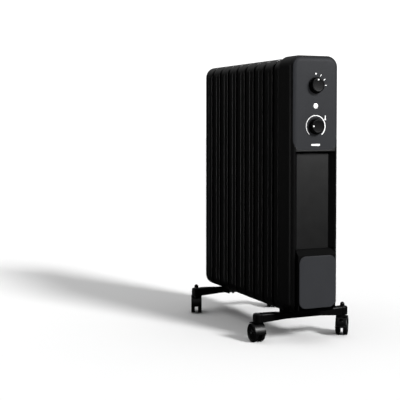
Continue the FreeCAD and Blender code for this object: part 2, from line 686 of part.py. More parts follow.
def thermal_cutout():
    """Disc thermostat clipped to the heat shield above the element."""
    part = body("thermal_cutout")
    add(part, "y", "shield_front - 6", "shield_front", circle("0", "150", "9"))
    add(part, "y", "shield_front - 12", "shield_front - 6", circle("0", "150", "6.5"))
    return node(part, "thermal_cutout")


def rounded_path(points, radius):
    """Straight runs joined by tangent arcs."""
    edges, start = [], points[0]
    for before, corner, after in zip(points, points[1:], points[2:]):
        inward, outward = (before - corner).normalize(), (after - corner).normalize()
        half = inward.getAngle(outward) / 2
        setback = radius / math.tan(half)
        first, last = corner + inward * setback, corner + outward * setback
        middle = (inward + outward).normalize() * (radius / math.sin(half) - radius)
        edges.append(Part.LineSegment(start, first).toShape())
        edges.append(Part.Arc(first, corner + middle, last).toShape())
        start = last
    edges.append(Part.LineSegment(start, points[-1]).toShape())
    return Part.Wire(edges)


def wire_tube(points, radius=1.3, bend=8.0):
    path = rounded_path(points, bend)
    first = path.Edges[0]
    ring = Part.Circle(points[0], first.tangentAt(first.FirstParameter), radius)
    return path.makePipeShell([Part.Wire(ring.toShape())], True, False)


def internal_wiring():
    """Leads between the gland, terminal block, switches, lamp and element."""
    vector, depth = FreeCAD.Vector, -203.0
    pin = size("fin_low + header_inset") - 6
    wires = [
        wire_tube([vector(24, -201, 172), vector(24, -192, 172), vector(24, -192, 240),
                   vector(14, -192, 246), vector(14, -192, 256)], bend=4.0),
        wire_tube([vector(-14, -192, 272), vector(-14, depth, 340), vector(-38, depth, 372),
                   vector(-38, depth, 462), vector(-17, depth, 466)]),
        wire_tube([vector(-14, -192, 256), vector(-14, -192, 226), vector(-26, -192, 196),
                   vector(-26, -194, 128), vector(-24, -195, pin), vector(-7.9, -195, pin)]),
        wire_tube([vector(14, -192, 272), vector(14, depth, 330), vector(38, depth, 372),
                   vector(38, depth, 556), vector(14, depth, 560)]),
    ]
    return solid_group("internal_wiring", wires)


# ---------------------------------------------------------------- foot bars
def bar_line(front):
    """Depth of the U-bolt line of the front or rear foot bar."""
    gap = 1.5 if front == "front" else 7.5
    return f"{FIRST_FIN} + {gap - 1}*fin_pitch"


def foot_bar(label, end):
    """Pressed channel with a saddle on the U-bolt line and a socket at each end.

    It is drawn with the caster line to the front of the saddle; the rear bar is turned round.
    """
    part = body(label)
    reach, half = "bar_reach", "bar_half"
    side = polygon([(f"-{reach}", "socket_low"), ("-82", "socket_low + 1"), ("-42", "bar_top - 13"),
                    ("42", "bar_top - 13"), ("82", "socket_low + 1"), (reach, "socket_low"),
                    (reach, "socket_high"), ("70", "socket_high - 0.6"), ("44", "bar_top"),
                    ("-44", "bar_top"), ("-70", "socket_high - 0.6"), (f"-{reach}", "socket_high")])
    add(part, "y", f"-bar_offset - {half} + 2", f"-bar_offset + {half} - 2", side)
    add(part, "z", "bar_top - 11", "bar_top",
        polygon([("-40", "-bar_offset"), ("40", "-bar_offset"), ("34", "11"), ("-34", "11")]))
    sockets = [circle(x, "-bar_offset", "socket_radius") for x in (f"-{reach}", reach)]
    add(part, "z", "socket_low", "socket_high", *sockets)
    cut(part, "z", "socket_low - 1", "bar_top - bar_sheet",
        polygon([("-86", "-bar_offset - 8"), ("86", "-bar_offset - 8"), ("86", "-bar_offset + 8"),
                 ("37", "-bar_offset + 8"), ("32", "9"), ("-32", "9"), ("-37", "-bar_offset + 8"),
                 ("-86", "-bar_offset + 8")]))
    bolt_holes = [circle(x, "0", "bolt_radius + 0.3") for x in ("-collar_radius - bolt_radius",
                                                                "collar_radius + bolt_radius")]
    cut(part, "z", "bar_top - bar_sheet - 1", "bar_top", *bolt_holes)
    cut(part, "z", "socket_low", "socket_high",
        *[circle(x, "-bar_offset", "4") for x in (f"-{reach}", reach)])
    placed(part, y=bar_line(end), turn=0 if end == "front" else 180)
    return node(part, label)


def u_bolts():
    """One U-bolt over the lower header for each foot bar."""
    bolts = []
    reach = size("collar_radius + bolt_radius")
    axis, foot = size("fin_low + header_inset"), size("bar_top - 12")
    for end in ("front", "rear"):
        depth = size(bar_line(end))
        vector = FreeCAD.Vector
        left, right = vector(-reach, depth, foot), vector(reach, depth, foot)
        arch = Part.Arc(vector(-reach, depth, axis), vector(0, depth, axis + reach),
                        vector(reach, depth, axis))
        path = Part.Wire([Part.LineSegment(left, vector(-reach, depth, axis)).toShape(), arch.toShape(),
                          Part.LineSegment(vector(reach, depth, axis), right).toShape()])
        ring = Part.Circle(left, vector(0, 0, 1), size("bolt_radius"))
        bolts.append(path.makePipeShell([Part.Wire(ring.toShape())], True, False))
    return solid_group("u_bolts", bolts)


def wing_nuts():
    nuts = []
    reach, under = size("collar_radius + bolt_radius"), size("bar_top - bar_sheet")
    for end in ("front", "rear"):
        for x in (-reach, reach):
            depth = size(bar_line(end))
            hub = Part.makeCone(4.4, 5.4, 7, FreeCAD.Vector(x, depth, under - 7))
            wings = Part.makeBox(22, 2, 6.5, FreeCAD.Vector(x - 11, depth - 1, under - 8))
            bore = upright(x, depth, under - 10, under + 1, "bolt_radius")
            nuts.append(hub.fuse(wings).cut(bore).removeSplitter())
    return solid_group("wing_nuts", nuts)


# ---------------------------------------------------------------- casters
def caster_place(corner):
    """Stem axis of a caster, as two expressions."""
    end, side = corner.split("_")
    across = "bar_reach" if side == "right" else "-bar_reach"
    offset = "- bar_offset" if end == "front" else "+ bar_offset"
    return across, f"{bar_line(end)} {offset}"


def caster_stems():
    """Steel stems pressed into the bars' sockets, each with a thinner spigot for its fork."""
    stems = []
    for corner in CASTERS:
        x, y = (size(t) for t in caster_place(corner))
        thick = upright(x, y, "socket_low", "socket_high + 0.6", 4)
        spigot = upright(x, y, "socket_low - 14", "socket_low", "stem_radius")
        stems.append(thick.fuse(spigot).removeSplitter())
    return solid_group("caster_stems", stems)


def stem_caps():
    """Cap nuts over the stems of the braked casters."""
    caps = []
    for corner in BRAKED:
        x, y = (size(t) for t in caster_place(corner))
        low = size("socket_high + 0.6")
        skirt = upright(x, y, low, low + 3.5, 5)
        dome = Part.makeSphere(5, FreeCAD.Vector(x, y, low + 3.5), FreeCAD.Vector(0, 0, 1), 0, 90)
        caps.append(skirt.fuse(dome).removeSplitter())
    return solid_group("stem_caps", caps)


def swivelled(part, corner):
    x, y = caster_place(corner)
    return placed(part, x=x, y=y, turn=CASTERS[corner])


PIVOT = ("trail + pedal_pivot", "wheel_radius + pedal_pivot")


def caster_fork(corner):
    """Hood over the twin wheels and the web between them, drawn about the stem axis."""
    part = body(f"caster_{corner}_fork")
    hood = [circle("trail", "wheel_radius", "hood_outer"), circle("trail", "wheel_radius", "hood_inner")]
    add(part, "x", "-wheel_inner - wheel_width", "wheel_inner + wheel_width", *hood)
    web = "wheel_inner - 0.4"
    add(part, "x", f"-({web})", web, circle("trail", "wheel_radius", "hood_inner + 0.5"))
    cut(part, "x", "-40", "40", polygon([
        ("trail - 30", "-10"), ("trail + 30", "-10"), ("trail + 30", "wheel_radius + 24"),
        ("trail + 10", "wheel_radius + 26"), ("trail + 8.6", "wheel_radius + 13"),
        ("trail + 9", "wheel_radius - 4"), ("trail - 9", "wheel_radius - 4"),
        ("trail - 30", "wheel_radius - 2")]))
    if corner in BRAKED:
        out, up = PIVOT
        ear = polygon([("trail + 6", "wheel_radius + 8"), (f"{out} + 1", f"{up} - 2.4"),
                       (out, f"{up} + 2.4"), ("trail + 6", "wheel_radius + 20")])
        add(part, "x", f"-({web})", web, ear)
        add(part, "x", f"-({web})", web, circle(out, up, "2.4"))
        cut(part, "x", "-20", "20", circle(out, up, "1.2 + shaft_play"))
    cut(part, "x", "-20", "20", circle("trail", "wheel_radius", "axle_radius + shaft_play"))
    cut(part, "z", "socket_low - 14.5", "socket_low + 5", circle("0", "0", "stem_radius + shaft_play"))
    return node(swivelled(part, corner), f"caster_{corner}_fork")


def caster_wheel(corner, side):
    """One wheel with a dished outer face and a slightly crowned tread."""
    label = f"caster_{corner}_wheel_{side}"
    part = body(label)
    sign = -1 if side == "a" else 1
    edge, inner, outer = "wheel_radius", f"{sign}*wheel_inner", f"{sign}*(wheel_inner + wheel_width)"
    middle = f"{sign}*(wheel_inner + wheel_width/2)"
    turned(part, "y", "H_Axis", [
        (inner, "axle_radius"), (inner, f"{edge} - 1.2"), (f"{inner} + {sign}*0.8", f"{edge} - 0.3"),
        (middle, edge),
        (f"{outer} - {sign}*1.2", f"{edge} - 0.3"), (outer, f"{edge} - 1.8"), (outer, f"{edge} - 4.5"),
        (f"{outer} - {sign}*2", f"{edge} - 6"), (f"{outer} - {sign}*2", "6.5"), (outer, "5.5"),
        (outer, "axle_radius")])
    x, y = caster_place(corner)
    turn = CASTERS[corner]
    lean = math.radians(turn)
    placed(part, x=f"{x} - trail*({math.sin(lean):.6f})", y=f"{y} + trail*({math.cos(lean):.6f})",
           z="wheel_radius", turn=turn)
    return node(part, label)


def caster_axle(corner):
    label = f"caster_{corner}_axle"
    part = body(label)
    reach = "wheel_inner + wheel_width"
    add(part, "x", f"-({reach})", reach, circle("trail", "wheel_radius", "axle_radius"))
    return node(swivelled(part, corner), label)


def brake_pedal(corner):
    """Toe pedal pinned to the fork behind the wheels, with a turned-out lip."""
    label = f"brake_pedal_{corner}"
    part = body(label)

    def at(out, up):
        return f"trail + {out}", f"wheel_radius + {up}"
    plate = polygon([at(17.3, 19.6), at(20, 19.8), at(26.6, 11), at(27.8, 4), at(32.5, 2.6), at(32.5, 0.4),
                     at(26.2, 1.4), at(24.6, 10.2), at(19.2, 16.4), at(17.3, 15)])
    for low, high in (("-12", "-wheel_inner"), ("wheel_inner", "12")):
        add(part, "x", low, high, plate)
        add(part, "x", low, high, circle(*PIVOT, "2.4"))
    add(part, "x", "-12", "12", polygon([at(22.6, 13.4), at(24.8, 13.4), at(26.6, 11), at(27.8, 4),
                                        at(32.5, 2.6), at(32.5, 0.4), at(26.2, 1.4), at(24.6, 10.2)]))
    add(part, "x", "-12", "12", circle(*PIVOT, "1.2"))
    return node(swivelled(part, corner), label)


# ---------------------------------------------------------------- the whole heater
def build():
    for number in range(1, int(size("fin_count")) + 1):
        fin(number)
    for make in (heating_element, element_flange, oil_fill_plug, heat_shield, shield_studs, shield_nuts,
                 housing_shell, control_panel, housing_screws, indicator_lens, indicator_lamp, cord_tub,
                 cord_door, door_pin, tub_screws, cord_gland, gland_nut, terminal_block, thermal_cutout,
                 internal_wiring, u_bolts, wing_nuts, caster_stems, stem_caps):
        make()
    knob("mode_knob", "mode_height")
    knob("thermostat_knob", "dial_height")
    shaft("mode_shaft", "mode_height")
    shaft("thermostat_shaft", "dial_height")
    switch_body("mode_switch", "mode_height", "14", "14", "-199",
                [("-8", "8"), ("8", "8"), ("-8", "-8"), ("8", "-8")])
    switch_body("thermostat_body", "dial_height", "17", "15", "-199", [("-10", "9"), ("10", "9")])
    foot_bar("front_foot_bar", "front")
    foot_bar("rear_foot_bar", "rear")
    for corner in CASTERS:
        caster_fork(corner)
        caster_axle(corner)
        for side in ("a", "b"):
            caster_wheel(corner, side)
    for corner in BRAKED:
        brake_pedal(corner)


def check_document():
    """Stop if any object failed, any cut missed, or any sub-part isn't a sound solid."""
    failed = [f"{o.Label} of {getattr(o.getParent(), 'Label', '-')}" for o in doc.Objects
              if {"Invalid", "Error"} & set(o.State)]
    if failed:
        raise RuntimeError(f"failed objects: {failed}")
    for feature in doc.Objects:
        if feature.TypeId in ("PartDesign::Pocket", "PartDesign::Groove"):
            if feature.Shape.Volume >= feature.BaseFeature.Shape.Volume - 1e-6:
                raise RuntimeError(f"{feature.Name} of {feature.getParent().Label} cuts nothing")
    for thing in exported:
        if thing.Shape.isNull() or not thing.Shape.isValid() or not thing.Shape.Solids:
            raise RuntimeError(f"{thing.Label} has no sound shape")


def export():
    os.makedirs("parts", exist_ok=True)
    for thing in exported:
        thing.Shape.exportStep(f"parts/{thing.Label}.step")
        print(f"{thing.Label:28s} {len(thing.Shape.Solids):3d} solids {thing.Shape.Volume / 1000:9.2f} cm3")


build()
doc.recompute()
check_document()
export()
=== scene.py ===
"""Looks of an oil filled column heater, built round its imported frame.

Metres, +Z up. The control panel faces -Y and the origin is on the floor under the middle of the heater.
"""
import json
import logging
import math
from dataclasses import dataclass
from enum import Enum
from typing import Any, Callable, Iterable, Sequence, Union

import bmesh
import bpy
from mathutils import Matrix, Vector


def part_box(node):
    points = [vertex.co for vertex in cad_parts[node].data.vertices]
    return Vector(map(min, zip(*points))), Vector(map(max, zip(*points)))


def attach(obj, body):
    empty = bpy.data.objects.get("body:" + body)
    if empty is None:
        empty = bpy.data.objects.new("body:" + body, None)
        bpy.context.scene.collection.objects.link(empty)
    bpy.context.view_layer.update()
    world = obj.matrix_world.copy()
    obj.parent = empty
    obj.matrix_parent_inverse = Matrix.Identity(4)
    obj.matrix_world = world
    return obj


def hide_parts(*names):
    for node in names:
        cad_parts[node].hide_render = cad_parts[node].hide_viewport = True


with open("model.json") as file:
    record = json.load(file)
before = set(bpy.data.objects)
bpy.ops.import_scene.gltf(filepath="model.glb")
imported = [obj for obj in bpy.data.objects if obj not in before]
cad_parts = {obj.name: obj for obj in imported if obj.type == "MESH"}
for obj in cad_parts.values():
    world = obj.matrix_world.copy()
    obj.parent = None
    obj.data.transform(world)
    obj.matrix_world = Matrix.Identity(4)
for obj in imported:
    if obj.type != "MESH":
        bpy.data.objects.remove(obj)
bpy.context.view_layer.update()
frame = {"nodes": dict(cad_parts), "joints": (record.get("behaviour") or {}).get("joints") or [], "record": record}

LOG = logging.getLogger("heater")
MM = 0.001
MIX_SHARE, MIX_LOW, MIX_HIGH, MIX_OUT = 0, 6, 7, 2  # a Mix node's colour sockets
WHITE = (1.0, 1.0, 1.0, 1.0)
Point = tuple[float, float]
Colour = tuple[float, float, float]
Number = Union[float, "Signal"]


# shader maths
class Signal:
    """One value or colour that travels through a material's nodes."""

    def __init__(self, tree: "Tree", socket: bpy.types.NodeSocket) -> None:
        """Keep the socket and the tree that it belongs to.

        Args:
            tree: The tree that makes the nodes of later sums.
            socket: The output socket that carries the value.
        """
        self.tree = tree
        self.socket = socket

    def _sum(self, operation: str, first: Number, second: Number) -> "Signal":
        """Add a Math node.

        Args:
            operation: The node's operation.
            first: Its first value.
            second: Its second value.

        Returns:
            The node's result.
        """
        return self.tree.node("ShaderNodeMath", {"operation": operation}, {0: first, 1: second})

    def __add__(self, other: Number) -> "Signal":
        """Give self + other."""
        return self._sum("ADD", self, other)

    def __mul__(self, other: Number) -> "Signal":
        """Give self * other."""
        return self._sum("MULTIPLY", self, other)

    def over(self, floor: Number) -> "Signal":
        """Give the larger of self and a floor."""
        return self._sum("MAXIMUM", self, floor)

    __radd__ = __add__
    __rmul__ = __mul__


class Tree:
    """Adds nodes to one node tree."""

    def __init__(self, tree: bpy.types.NodeTree) -> None:
        """Keep the tree.

        Args:
            tree: A material's or a world's node tree.
        """
        self.tree = tree

    def node(self, kind: str, settings: dict[str, Any], sockets: dict[Any, Any], out: Any = 0) -> Signal:
        """Add one node, with its settings first and its sockets after them.

        Args:
            kind: The node's type.
            settings: Properties of the node.
            sockets: Values or signals by socket name or number.
            out: Name or number of the output that is wanted.

        Returns:
            The signal of that output.
        """
        made = self.tree.nodes.new(kind)
        for name, value in settings.items():
            setattr(made, name, value)
        for name, value in sockets.items():
            self.feed(made.inputs[name], value)
        return Signal(self, made.outputs[out])

    def feed(self, socket: bpy.types.NodeSocket, value: Any) -> None:
        """Link a signal to a socket, or set its value.

        Args:
            socket: The input socket.
            value: A signal, a number, or a tuple.
        """
        if isinstance(value, Signal):
            self.tree.links.new(value.socket, socket)
        else:
            socket.default_value = value


class Coat(Tree):
    """One material with a Principled shader."""

    def __init__(self, name: str) -> None:
        """Make the material.

        Args:
            name: Name of the material.
        """
        self.material = bpy.data.materials.new(self.full_name(name))
        self.material.use_nodes = True
        super().__init__(self.material.node_tree)
        self.shader = self.tree.nodes["Principled BSDF"]

    @staticmethod
    def full_name(name: str) -> str:
        """Give the material's name, which no material of the frame has."""
        return f"{name}_coat"

    def place(self) -> Signal:
        """Give the point on the object, in metres."""
        return self.node("ShaderNodeTexCoord", {}, {}, "Object")

    def noise(self, scale: float, detail: float = 2.0, roughness: float = 0.5,
              stretch: tuple[float, float, float] = (1.0, 1.0, 1.0)) -> Signal:
        """Add noise on the object.

        Args:
            scale: Cells per metre.
            detail: Octaves.
            roughness: How strong the fine octaves are.
            stretch: Scale along each axis, for brushed or drawn surfaces.

        Returns:
            The noise, about 0.5 on average.
        """
        where = self.node("ShaderNodeMapping", {}, {"Vector": self.place(), "Scale": stretch})
        return self.node("ShaderNodeTexNoise", {},
                         {"Vector": where, "Scale": scale, "Detail": detail, "Roughness": roughness})

    def grain(self, scale: float) -> Signal:
        """Give the cell distance of a Voronoi texture, which is the grain of a moulded surface."""
        return self.node("ShaderNodeTexVoronoi", {}, {"Vector": self.place(), "Scale": scale}, "Distance")

    def mix(self, share: Number, low: Colour, high: Colour) -> Signal:
        """Mix two colours.

        Args:
            share: 0 gives the first colour and 1 the second.
            low: The first colour.
            high: The second colour.

        Returns:
            The mixed colour.
        """
        sockets = {MIX_SHARE: share, MIX_LOW: (*low, 1.0), MIX_HIGH: (*high, 1.0)}
        return self.node("ShaderNodeMix", {"data_type": "RGBA"}, sockets, MIX_OUT)

    def bump(self, height: Signal, depth: float) -> None:
        """Raise the surface.

        Args:
            height: From 0 to 1 over the surface.
            depth: Height of 1, in metres.
        """
        sockets = {"Height": height, "Distance": depth, "Strength": 1.0}
        self.feed(self.shader.inputs["Normal"], self.node("ShaderNodeBump", {}, sockets, "Normal"))

    def set(self, **values: Any) -> None:
        """Set or link the shader's sockets; an underscore stands for a space."""
        for name, value in values.items():
            self.feed(self.shader.inputs[name.replace("_", " ")], value)


# finishes
@dataclass(frozen=True)
class Moulded:
    """Injection moulded plastic with a spark-eroded grain."""

    name: str
    colour: Colour
    roughness: float = 0.5
    shine: float = 0.3
    grain_size: float = 0.7 * MM
    grain_depth: float = 0.02 * MM
    mottle: float = 0.12

    def dress(self) -> bpy.types.Material:
        """Make the material."""
        coat = Coat(self.name)
        cloud = coat.noise(14.0, detail=3.0)
        low = tuple(c * (1.0 - self.mottle) for c in self.colour)
        high = tuple(c * (1.0 + self.mottle) for c in self.colour)
        grain = coat.grain(1.0 / self.grain_size)
        fine = coat.noise(2.2 / self.grain_size, detail=1.0)
        rubbed = coat.noise(55.0, detail=4.0, roughness=0.65)
        coat.set(Base_Color=coat.mix(cloud, low, high), Roughness=self.roughness - 0.05 + rubbed * 0.1,
                 Specular_IOR_Level=self.shine)
        coat.bump(grain * 0.7 + fine * 0.5, self.grain_depth)
        return coat.material


@dataclass(frozen=True)
class Enamel:
    """Stoved enamel on pressed steel, with a faint orange peel."""

    name: str
    colour: Colour
    roughness: float = 0.42
    shine: float = 0.22
    peel_size: float = 2.4 * MM
    peel_depth: float = 0.012 * MM

    def dress(self) -> bpy.types.Material:
        """Make the material."""
        coat = Coat(self.name)
        peel = coat.noise(1.0 / self.peel_size, detail=1.0)
        speck = coat.noise(1.0 / (0.4 * MM), detail=0.0)
        drift = coat.noise(6.0, detail=3.0)
        dusty = tuple(c * 1.5 for c in self.colour)
        coat.set(Base_Color=coat.mix(drift, self.colour, dusty),
                 Roughness=self.roughness - 0.04 + peel * 0.08, Specular_IOR_Level=self.shine)
        coat.bump(peel + speck * 0.25, self.peel_depth)
        return coat.material


@dataclass(frozen=True)
class Metal:
    """Bare metal with fine drawing lines and a duller film on it."""

    name: str
    colour: Colour
    roughness: float = 0.34
    lines: tuple[float, float, float] = (1.0, 1.0, 0.06)

    def dress(self) -> bpy.types.Material:
        """Make the material."""
        coat = Coat(self.name)
        drawn = coat.noise(2600.0, detail=2.0, stretch=self.lines)
        film = coat.noise(120.0, detail=4.0, roughness=0.6)
        dull = tuple(c * 0.72 for c in self.colour)
        coat.set(Base_Color=coat.mix(film, dull, self.colour), Metallic=1.0,
                 Roughness=self.roughness - 0.08 + film * 0.16)
        coat.bump(drawn, 0.006 * MM)
        return coat.material


@dataclass(frozen=True)
class Ink:
    """Screen printed ink, a little uneven."""

    name: str
    colour: Colour = (0.93, 0.93, 0.92)

    def dress(self) -> bpy.types.Material:
        """Make the material."""
        coat = Coat(self.name)
        patch = coat.noise(900.0, detail=3.0)
        worn = tuple(c * 0.93 for c in self.colour)
        coat.set(Base_Color=coat.mix(patch, worn, self.colour), Roughness=0.42 + patch * 0.12)
        coat.bump(patch, 0.01 * MM)
        return coat.material


@dataclass(frozen=True)
class Opal:
    """Opal plastic over a lamp, lit softly from behind."""

    name: str
    colour: Colour = (0.95, 0.95, 0.93)
    glow: float = 0.25

    def dress(self) -> bpy.types.Material:
        """Make the material."""
        coat = Coat(self.name)
        milk = coat.noise(260.0, detail=2.0)
        cool = tuple(c * 0.95 for c in self.colour)
        coat.set(Base_Color=coat.mix(milk, cool, self.colour), Roughness=0.16 + milk * 0.08,
                 Emission_Color=coat.mix(milk, cool, self.colour), Emission_Strength=self.glow,
                 Coat_Weight=0.4)
        coat.bump(milk, 0.02 * MM)
        return coat.material


@dataclass(frozen=True)
class Glass:
    """Clear glass of a small neon lamp."""

    name: str
    colour: Colour = (0.95, 0.85, 0.75)

    def dress(self) -> bpy.types.Material:
        """Make the material."""
        coat = Coat(self.name)
        ripple = coat.noise(300.0)
        coat.set(Base_Color=coat.mix(ripple, (0.9, 0.78, 0.66), self.colour),
                 Roughness=0.05 + ripple * 0.05, Transmission_Weight=0.9)
        coat.bump(ripple, 0.01 * MM)
        return coat.material


class Finish(Enum):
    """The finishes of the heater, each under the name of its slot."""

    FIN = Enamel("fin_enamel", (0.0006, 0.0006, 0.0007), roughness=0.3, shine=0.34)
    BAR = Enamel("bar_enamel", (0.0009, 0.0009, 0.0009), roughness=0.36, shine=0.1)
    HOUSING = Moulded("housing_black", (0.0008, 0.0008, 0.0009), roughness=0.44, shine=0.2)
    # Painted shade: the cord tub gets a darker, duller black than the housing, for the shadowed gap above the
    # storage door.
    TUB = Moulded("tub_black", (0.0006, 0.0006, 0.0007), roughness=0.6, shine=0.04)
    PANEL = Moulded("panel_grey", (0.0255, 0.0264, 0.029), roughness=0.52, shine=0.035, grain_size=0.5 * MM)
    KNOB = Moulded("knob_black", (0.0018, 0.0018, 0.002), roughness=0.42, shine=0.04, grain_size=0.4 * MM)
    CASTER = Moulded("caster_black", (0.001, 0.001, 0.0011), roughness=0.36, shine=0.14,
                     grain_size=0.5 * MM)
    TREAD = Moulded("tread_black", (0.002, 0.002, 0.0022), roughness=0.4, shine=0.22, grain_size=0.9 * MM)
    RUBBER = Moulded("gland_rubber", (0.012, 0.012, 0.012), roughness=0.7, shine=0.25,
                     grain_depth=0.04 * MM)
    RESIN = Moulded("switch_resin", (0.5, 0.47, 0.38), roughness=0.45)
    SLEEVE = Moulded("wire_sleeve", (0.5, 0.46, 0.4), roughness=0.8, grain_size=0.6 * MM,
                     grain_depth=0.1 * MM)
    STEEL = Metal("bare_steel", (0.56, 0.57, 0.58))
    SHEATH = Metal("element_steel", (0.36, 0.34, 0.32), roughness=0.45)
    BRASS = Metal("brass", (0.68, 0.5, 0.22), roughness=0.3)
    LENS = Opal("lens_white")
    LAMP = Glass("lamp_glass")
    PRINT = Ink("print_white")

    @property
    def material(self) -> bpy.types.Material:
        """Give the finish's material, made on first use."""
        return bpy.data.materials.get(Coat.full_name(self.value.name)) or self.value.dress()


# mesh making
def rounded(half: float, low: float, high: float, radius: float, steps: int = 10) -> list[Point]:
    """Outline of a rectangle with round corners, about the middle across.

    Args:
        half: Half width.
        low: Lower edge.
        high: Upper edge.
        radius: Corner radius.
        steps: Runs in each corner.

    Returns:
        The points, anticlockwise.
    """
    r = max(radius, 0.01 * MM)
    side = half - r
    corners = ((side, low + r, -90), (side, high - r, 0), (-side, high - r, 90), (-side, low + r, 180))
    return [point for x, z, start in corners for point in arc(x, z, r, start, start + 90, steps)]


def arc(x: float, y: float, radius: float, start: float, end: float, steps: int) -> list[Point]:
    """Points of an arc, both ends among them.

    Args:
        x: Its middle, across.
        y: Its middle, up.
        radius: Its radius.
        start: Angle of the first point, in degrees.
        end: Angle of the last point.
        steps: Runs between the points.

    Returns:
        The points in order.
    """
    turns = [math.radians(start + (end - start) * i / steps) for i in range(steps + 1)]
    return [(x + radius * math.cos(a), y + radius * math.sin(a)) for a in turns]


def disc(x: float, y: float, radius: float) -> list[Point]:
    """Give a full circle of 24 points."""
    return arc(x, y, radius, 0, 345, 23)


def middle_of(node: str) -> list[float]:
    """Give the middle of a CAD node's box."""
    return [(low + high) / 2 for low, high in zip(*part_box(node))]


class Skin:
    """A mesh in the making: rings of points joined by faces."""

    def __init__(self) -> None:
        """Start empty."""
        self.points: list[Vector] = []
        self.faces: list[Sequence[int]] = []

    def ring(self, points: Iterable[Sequence[float]]) -> list[int]:
        """Add points.

        Args:
            points: The points, in order.

        Returns:
            Their numbers in the mesh.
        """
        first = len(self.points)
        self.points += [Vector(p) for p in points]
        return list(range(first, len(self.points)))

    def join(self, *rings: Sequence[int]) -> None:
        """Join rings one after another by four-sided faces.

        Args:
            rings: Point numbers of each ring, as many in each.
        """
        for a, b in zip(rings, rings[1:]):
            for i, j in zip(range(len(a)), (*range(1, len(a)), 0)):
                self.faces.append((a[i], a[j], b[j], b[i]))

    def stack(self, rings: Sequence[Iterable[Sequence[float]]], wrap: bool = False) -> None:
        """Make a closed form from rings that are joined one after another.

        Args:
            rings: Rings of as many points each.
            wrap: Join the last ring to the first, instead of closing both with a face.
        """
        made = [self.ring(r) for r in rings]
        self.join(*made)
        if wrap:
            self.join(made[-1], made[0])
        else:
            self.faces += [made[0][::-1], made[-1]]

    def extruded(self, outline: Sequence[Point], low: float, high: float,
                 place: Callable[[float, float, float], Sequence[float]]) -> None:
        """Extrude a flat outline.

        Args:
            outline: Its points.
            low: Where it starts.
            high: Where it ends.
            place: Turns (u, v, along) into a point.
        """
        self.stack([[place(u, v, w) for u, v in outline] for w in (low, high)])

    def lathe(self, profile: Sequence[Point], place: Callable[[float, float, float], Sequence[float]],
              steps: int = 48, wrap: bool = False,
              reach: Callable[[float, float, float], float] = lambda r, h, a: r) -> None:
        """Turn a profile round an axis.

        Args:
            profile: Pairs of radius and height.
            place: Turns (u, v, along the axis) into a point.
            steps: Points round the axis.
            wrap: Close the profile on itself.
            reach: Radius at (radius, height, angle), for fluted shapes.
        """
        turns = [2 * math.pi * i / steps for i in range(steps)]
        rings = [[place(reach(r, h, a) * math.cos(a), reach(r, h, a) * math.sin(a), h) for a in turns]
                 for r, h in profile]
        self.stack(rings, wrap=wrap)

    def mesh(self, name: str, weld: float = 0.002 * MM) -> bpy.types.Mesh:
        """Make the mesh, with doubled points welded and faces turned outwards.

        Args:
            name: Name of the mesh.
            weld: Points nearer than this become one.

        Returns:
            The mesh.
        """
        made = bpy.data.meshes.new(name)
        made.from_pydata(self.points, [], self.faces)
        work = bmesh.new()
        work.from_mesh(made)
        bmesh.ops.remove_doubles(work, verts=work.verts, dist=weld)
        bmesh.ops.dissolve_degenerate(work, edges=work.edges, dist=weld)
        bmesh.ops.recalc_face_normals(work, faces=work.faces)
        work.to_mesh(made)
        work.free()
        return made


@dataclass
class Piece:
    """One visible piece, from its mesh to its place on a body."""

    name: str
    finish: Finish
    body: str
    slot: str = ""
    bevel: float = 0.0
    bevel_steps: int = 3
    bevel_from: float = 40.0
    smooth: float = 38.0

    def make(self, mesh: bpy.types.Mesh, replaces: Sequence[str] = (),
             cutters: Sequence[bpy.types.Mesh] = ()) -> bpy.types.Object:
        """Make the object, cut it, round its edges, and set it on its body.

        Args:
            mesh: The piece's mesh.
            replaces: CAD nodes that it stands for.
            cutters: Meshes that are taken away from it.

        Returns:
            The finished object.
        """
        thing = bpy.data.objects.new(self.name, mesh)
        bpy.context.scene.collection.objects.link(thing)
        self._cut(thing, cutters)
        if self.bevel:
            self._round(thing)
        thing.data.materials.clear()
        thing.data.materials.append(self.finish.material)
        for face in thing.data.polygons:
            face.use_smooth = True
        thing.data.set_sharp_from_angle(angle=math.radians(self.smooth))
        thing.modifiers.new("flats", "WEIGHTED_NORMAL").keep_sharp = True
        self._settle(thing)
        thing.data.name = self.name
        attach(thing, self.body)
        self.slot or self.finish.value.name
        if replaces:
            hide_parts(*replaces)
        LOG.info("%s: %d faces on %s", self.name, len(thing.data.polygons), self.body)
        return thing

    @staticmethod
    def _settle(thing: bpy.types.Object) -> None:
        """Apply the object's modifiers.

        Args:
            thing: The object.
        """
        graph = bpy.context.evaluated_depsgraph_get()
        done = bpy.data.meshes.new_from_object(thing.evaluated_get(graph))
        thing.modifiers.clear()
        thing.data = done

    def _cut(self, thing: bpy.types.Object, cutters: Sequence[bpy.types.Mesh]) -> None:
        """Take each cutter away from the object.

        Args:
            thing: The object.
            cutters: Closed meshes.
        """
        for mesh in cutters:
            tool = bpy.data.objects.new("cutter", mesh)
            bpy.context.scene.collection.objects.link(tool)
            change = thing.modifiers.new("cut", "BOOLEAN")
            change.operation, change.solver, change.object = "DIFFERENCE", "EXACT", tool
            self._settle(thing)
            bpy.data.objects.remove(tool)

    def _round(self, thing: bpy.types.Object) -> None:
        """Round the object's sharp edges.

        Args:
            thing: The object.
        """
        change = thing.modifiers.new("round", "BEVEL")
        change.width, change.segments, change.limit_method = self.bevel, self.bevel_steps, "ANGLE"
        change.angle_limit, change.use_clamp_overlap = math.radians(self.bevel_from), False
        change.miter_outer = "MITER_ARC"
        self._settle(thing)


def facing_y(u: float, v: float, w: float) -> tuple[float, float, float]:
    """Place for shapes about an axis along Y: u across, v up, w along Y."""
    return (u, w, v)


def upright(u: float, v: float, w: float) -> tuple[float, float, float]:
    """Place for shapes about an upright axis: u across, v along Y, w up."""
    return (u, v, w)


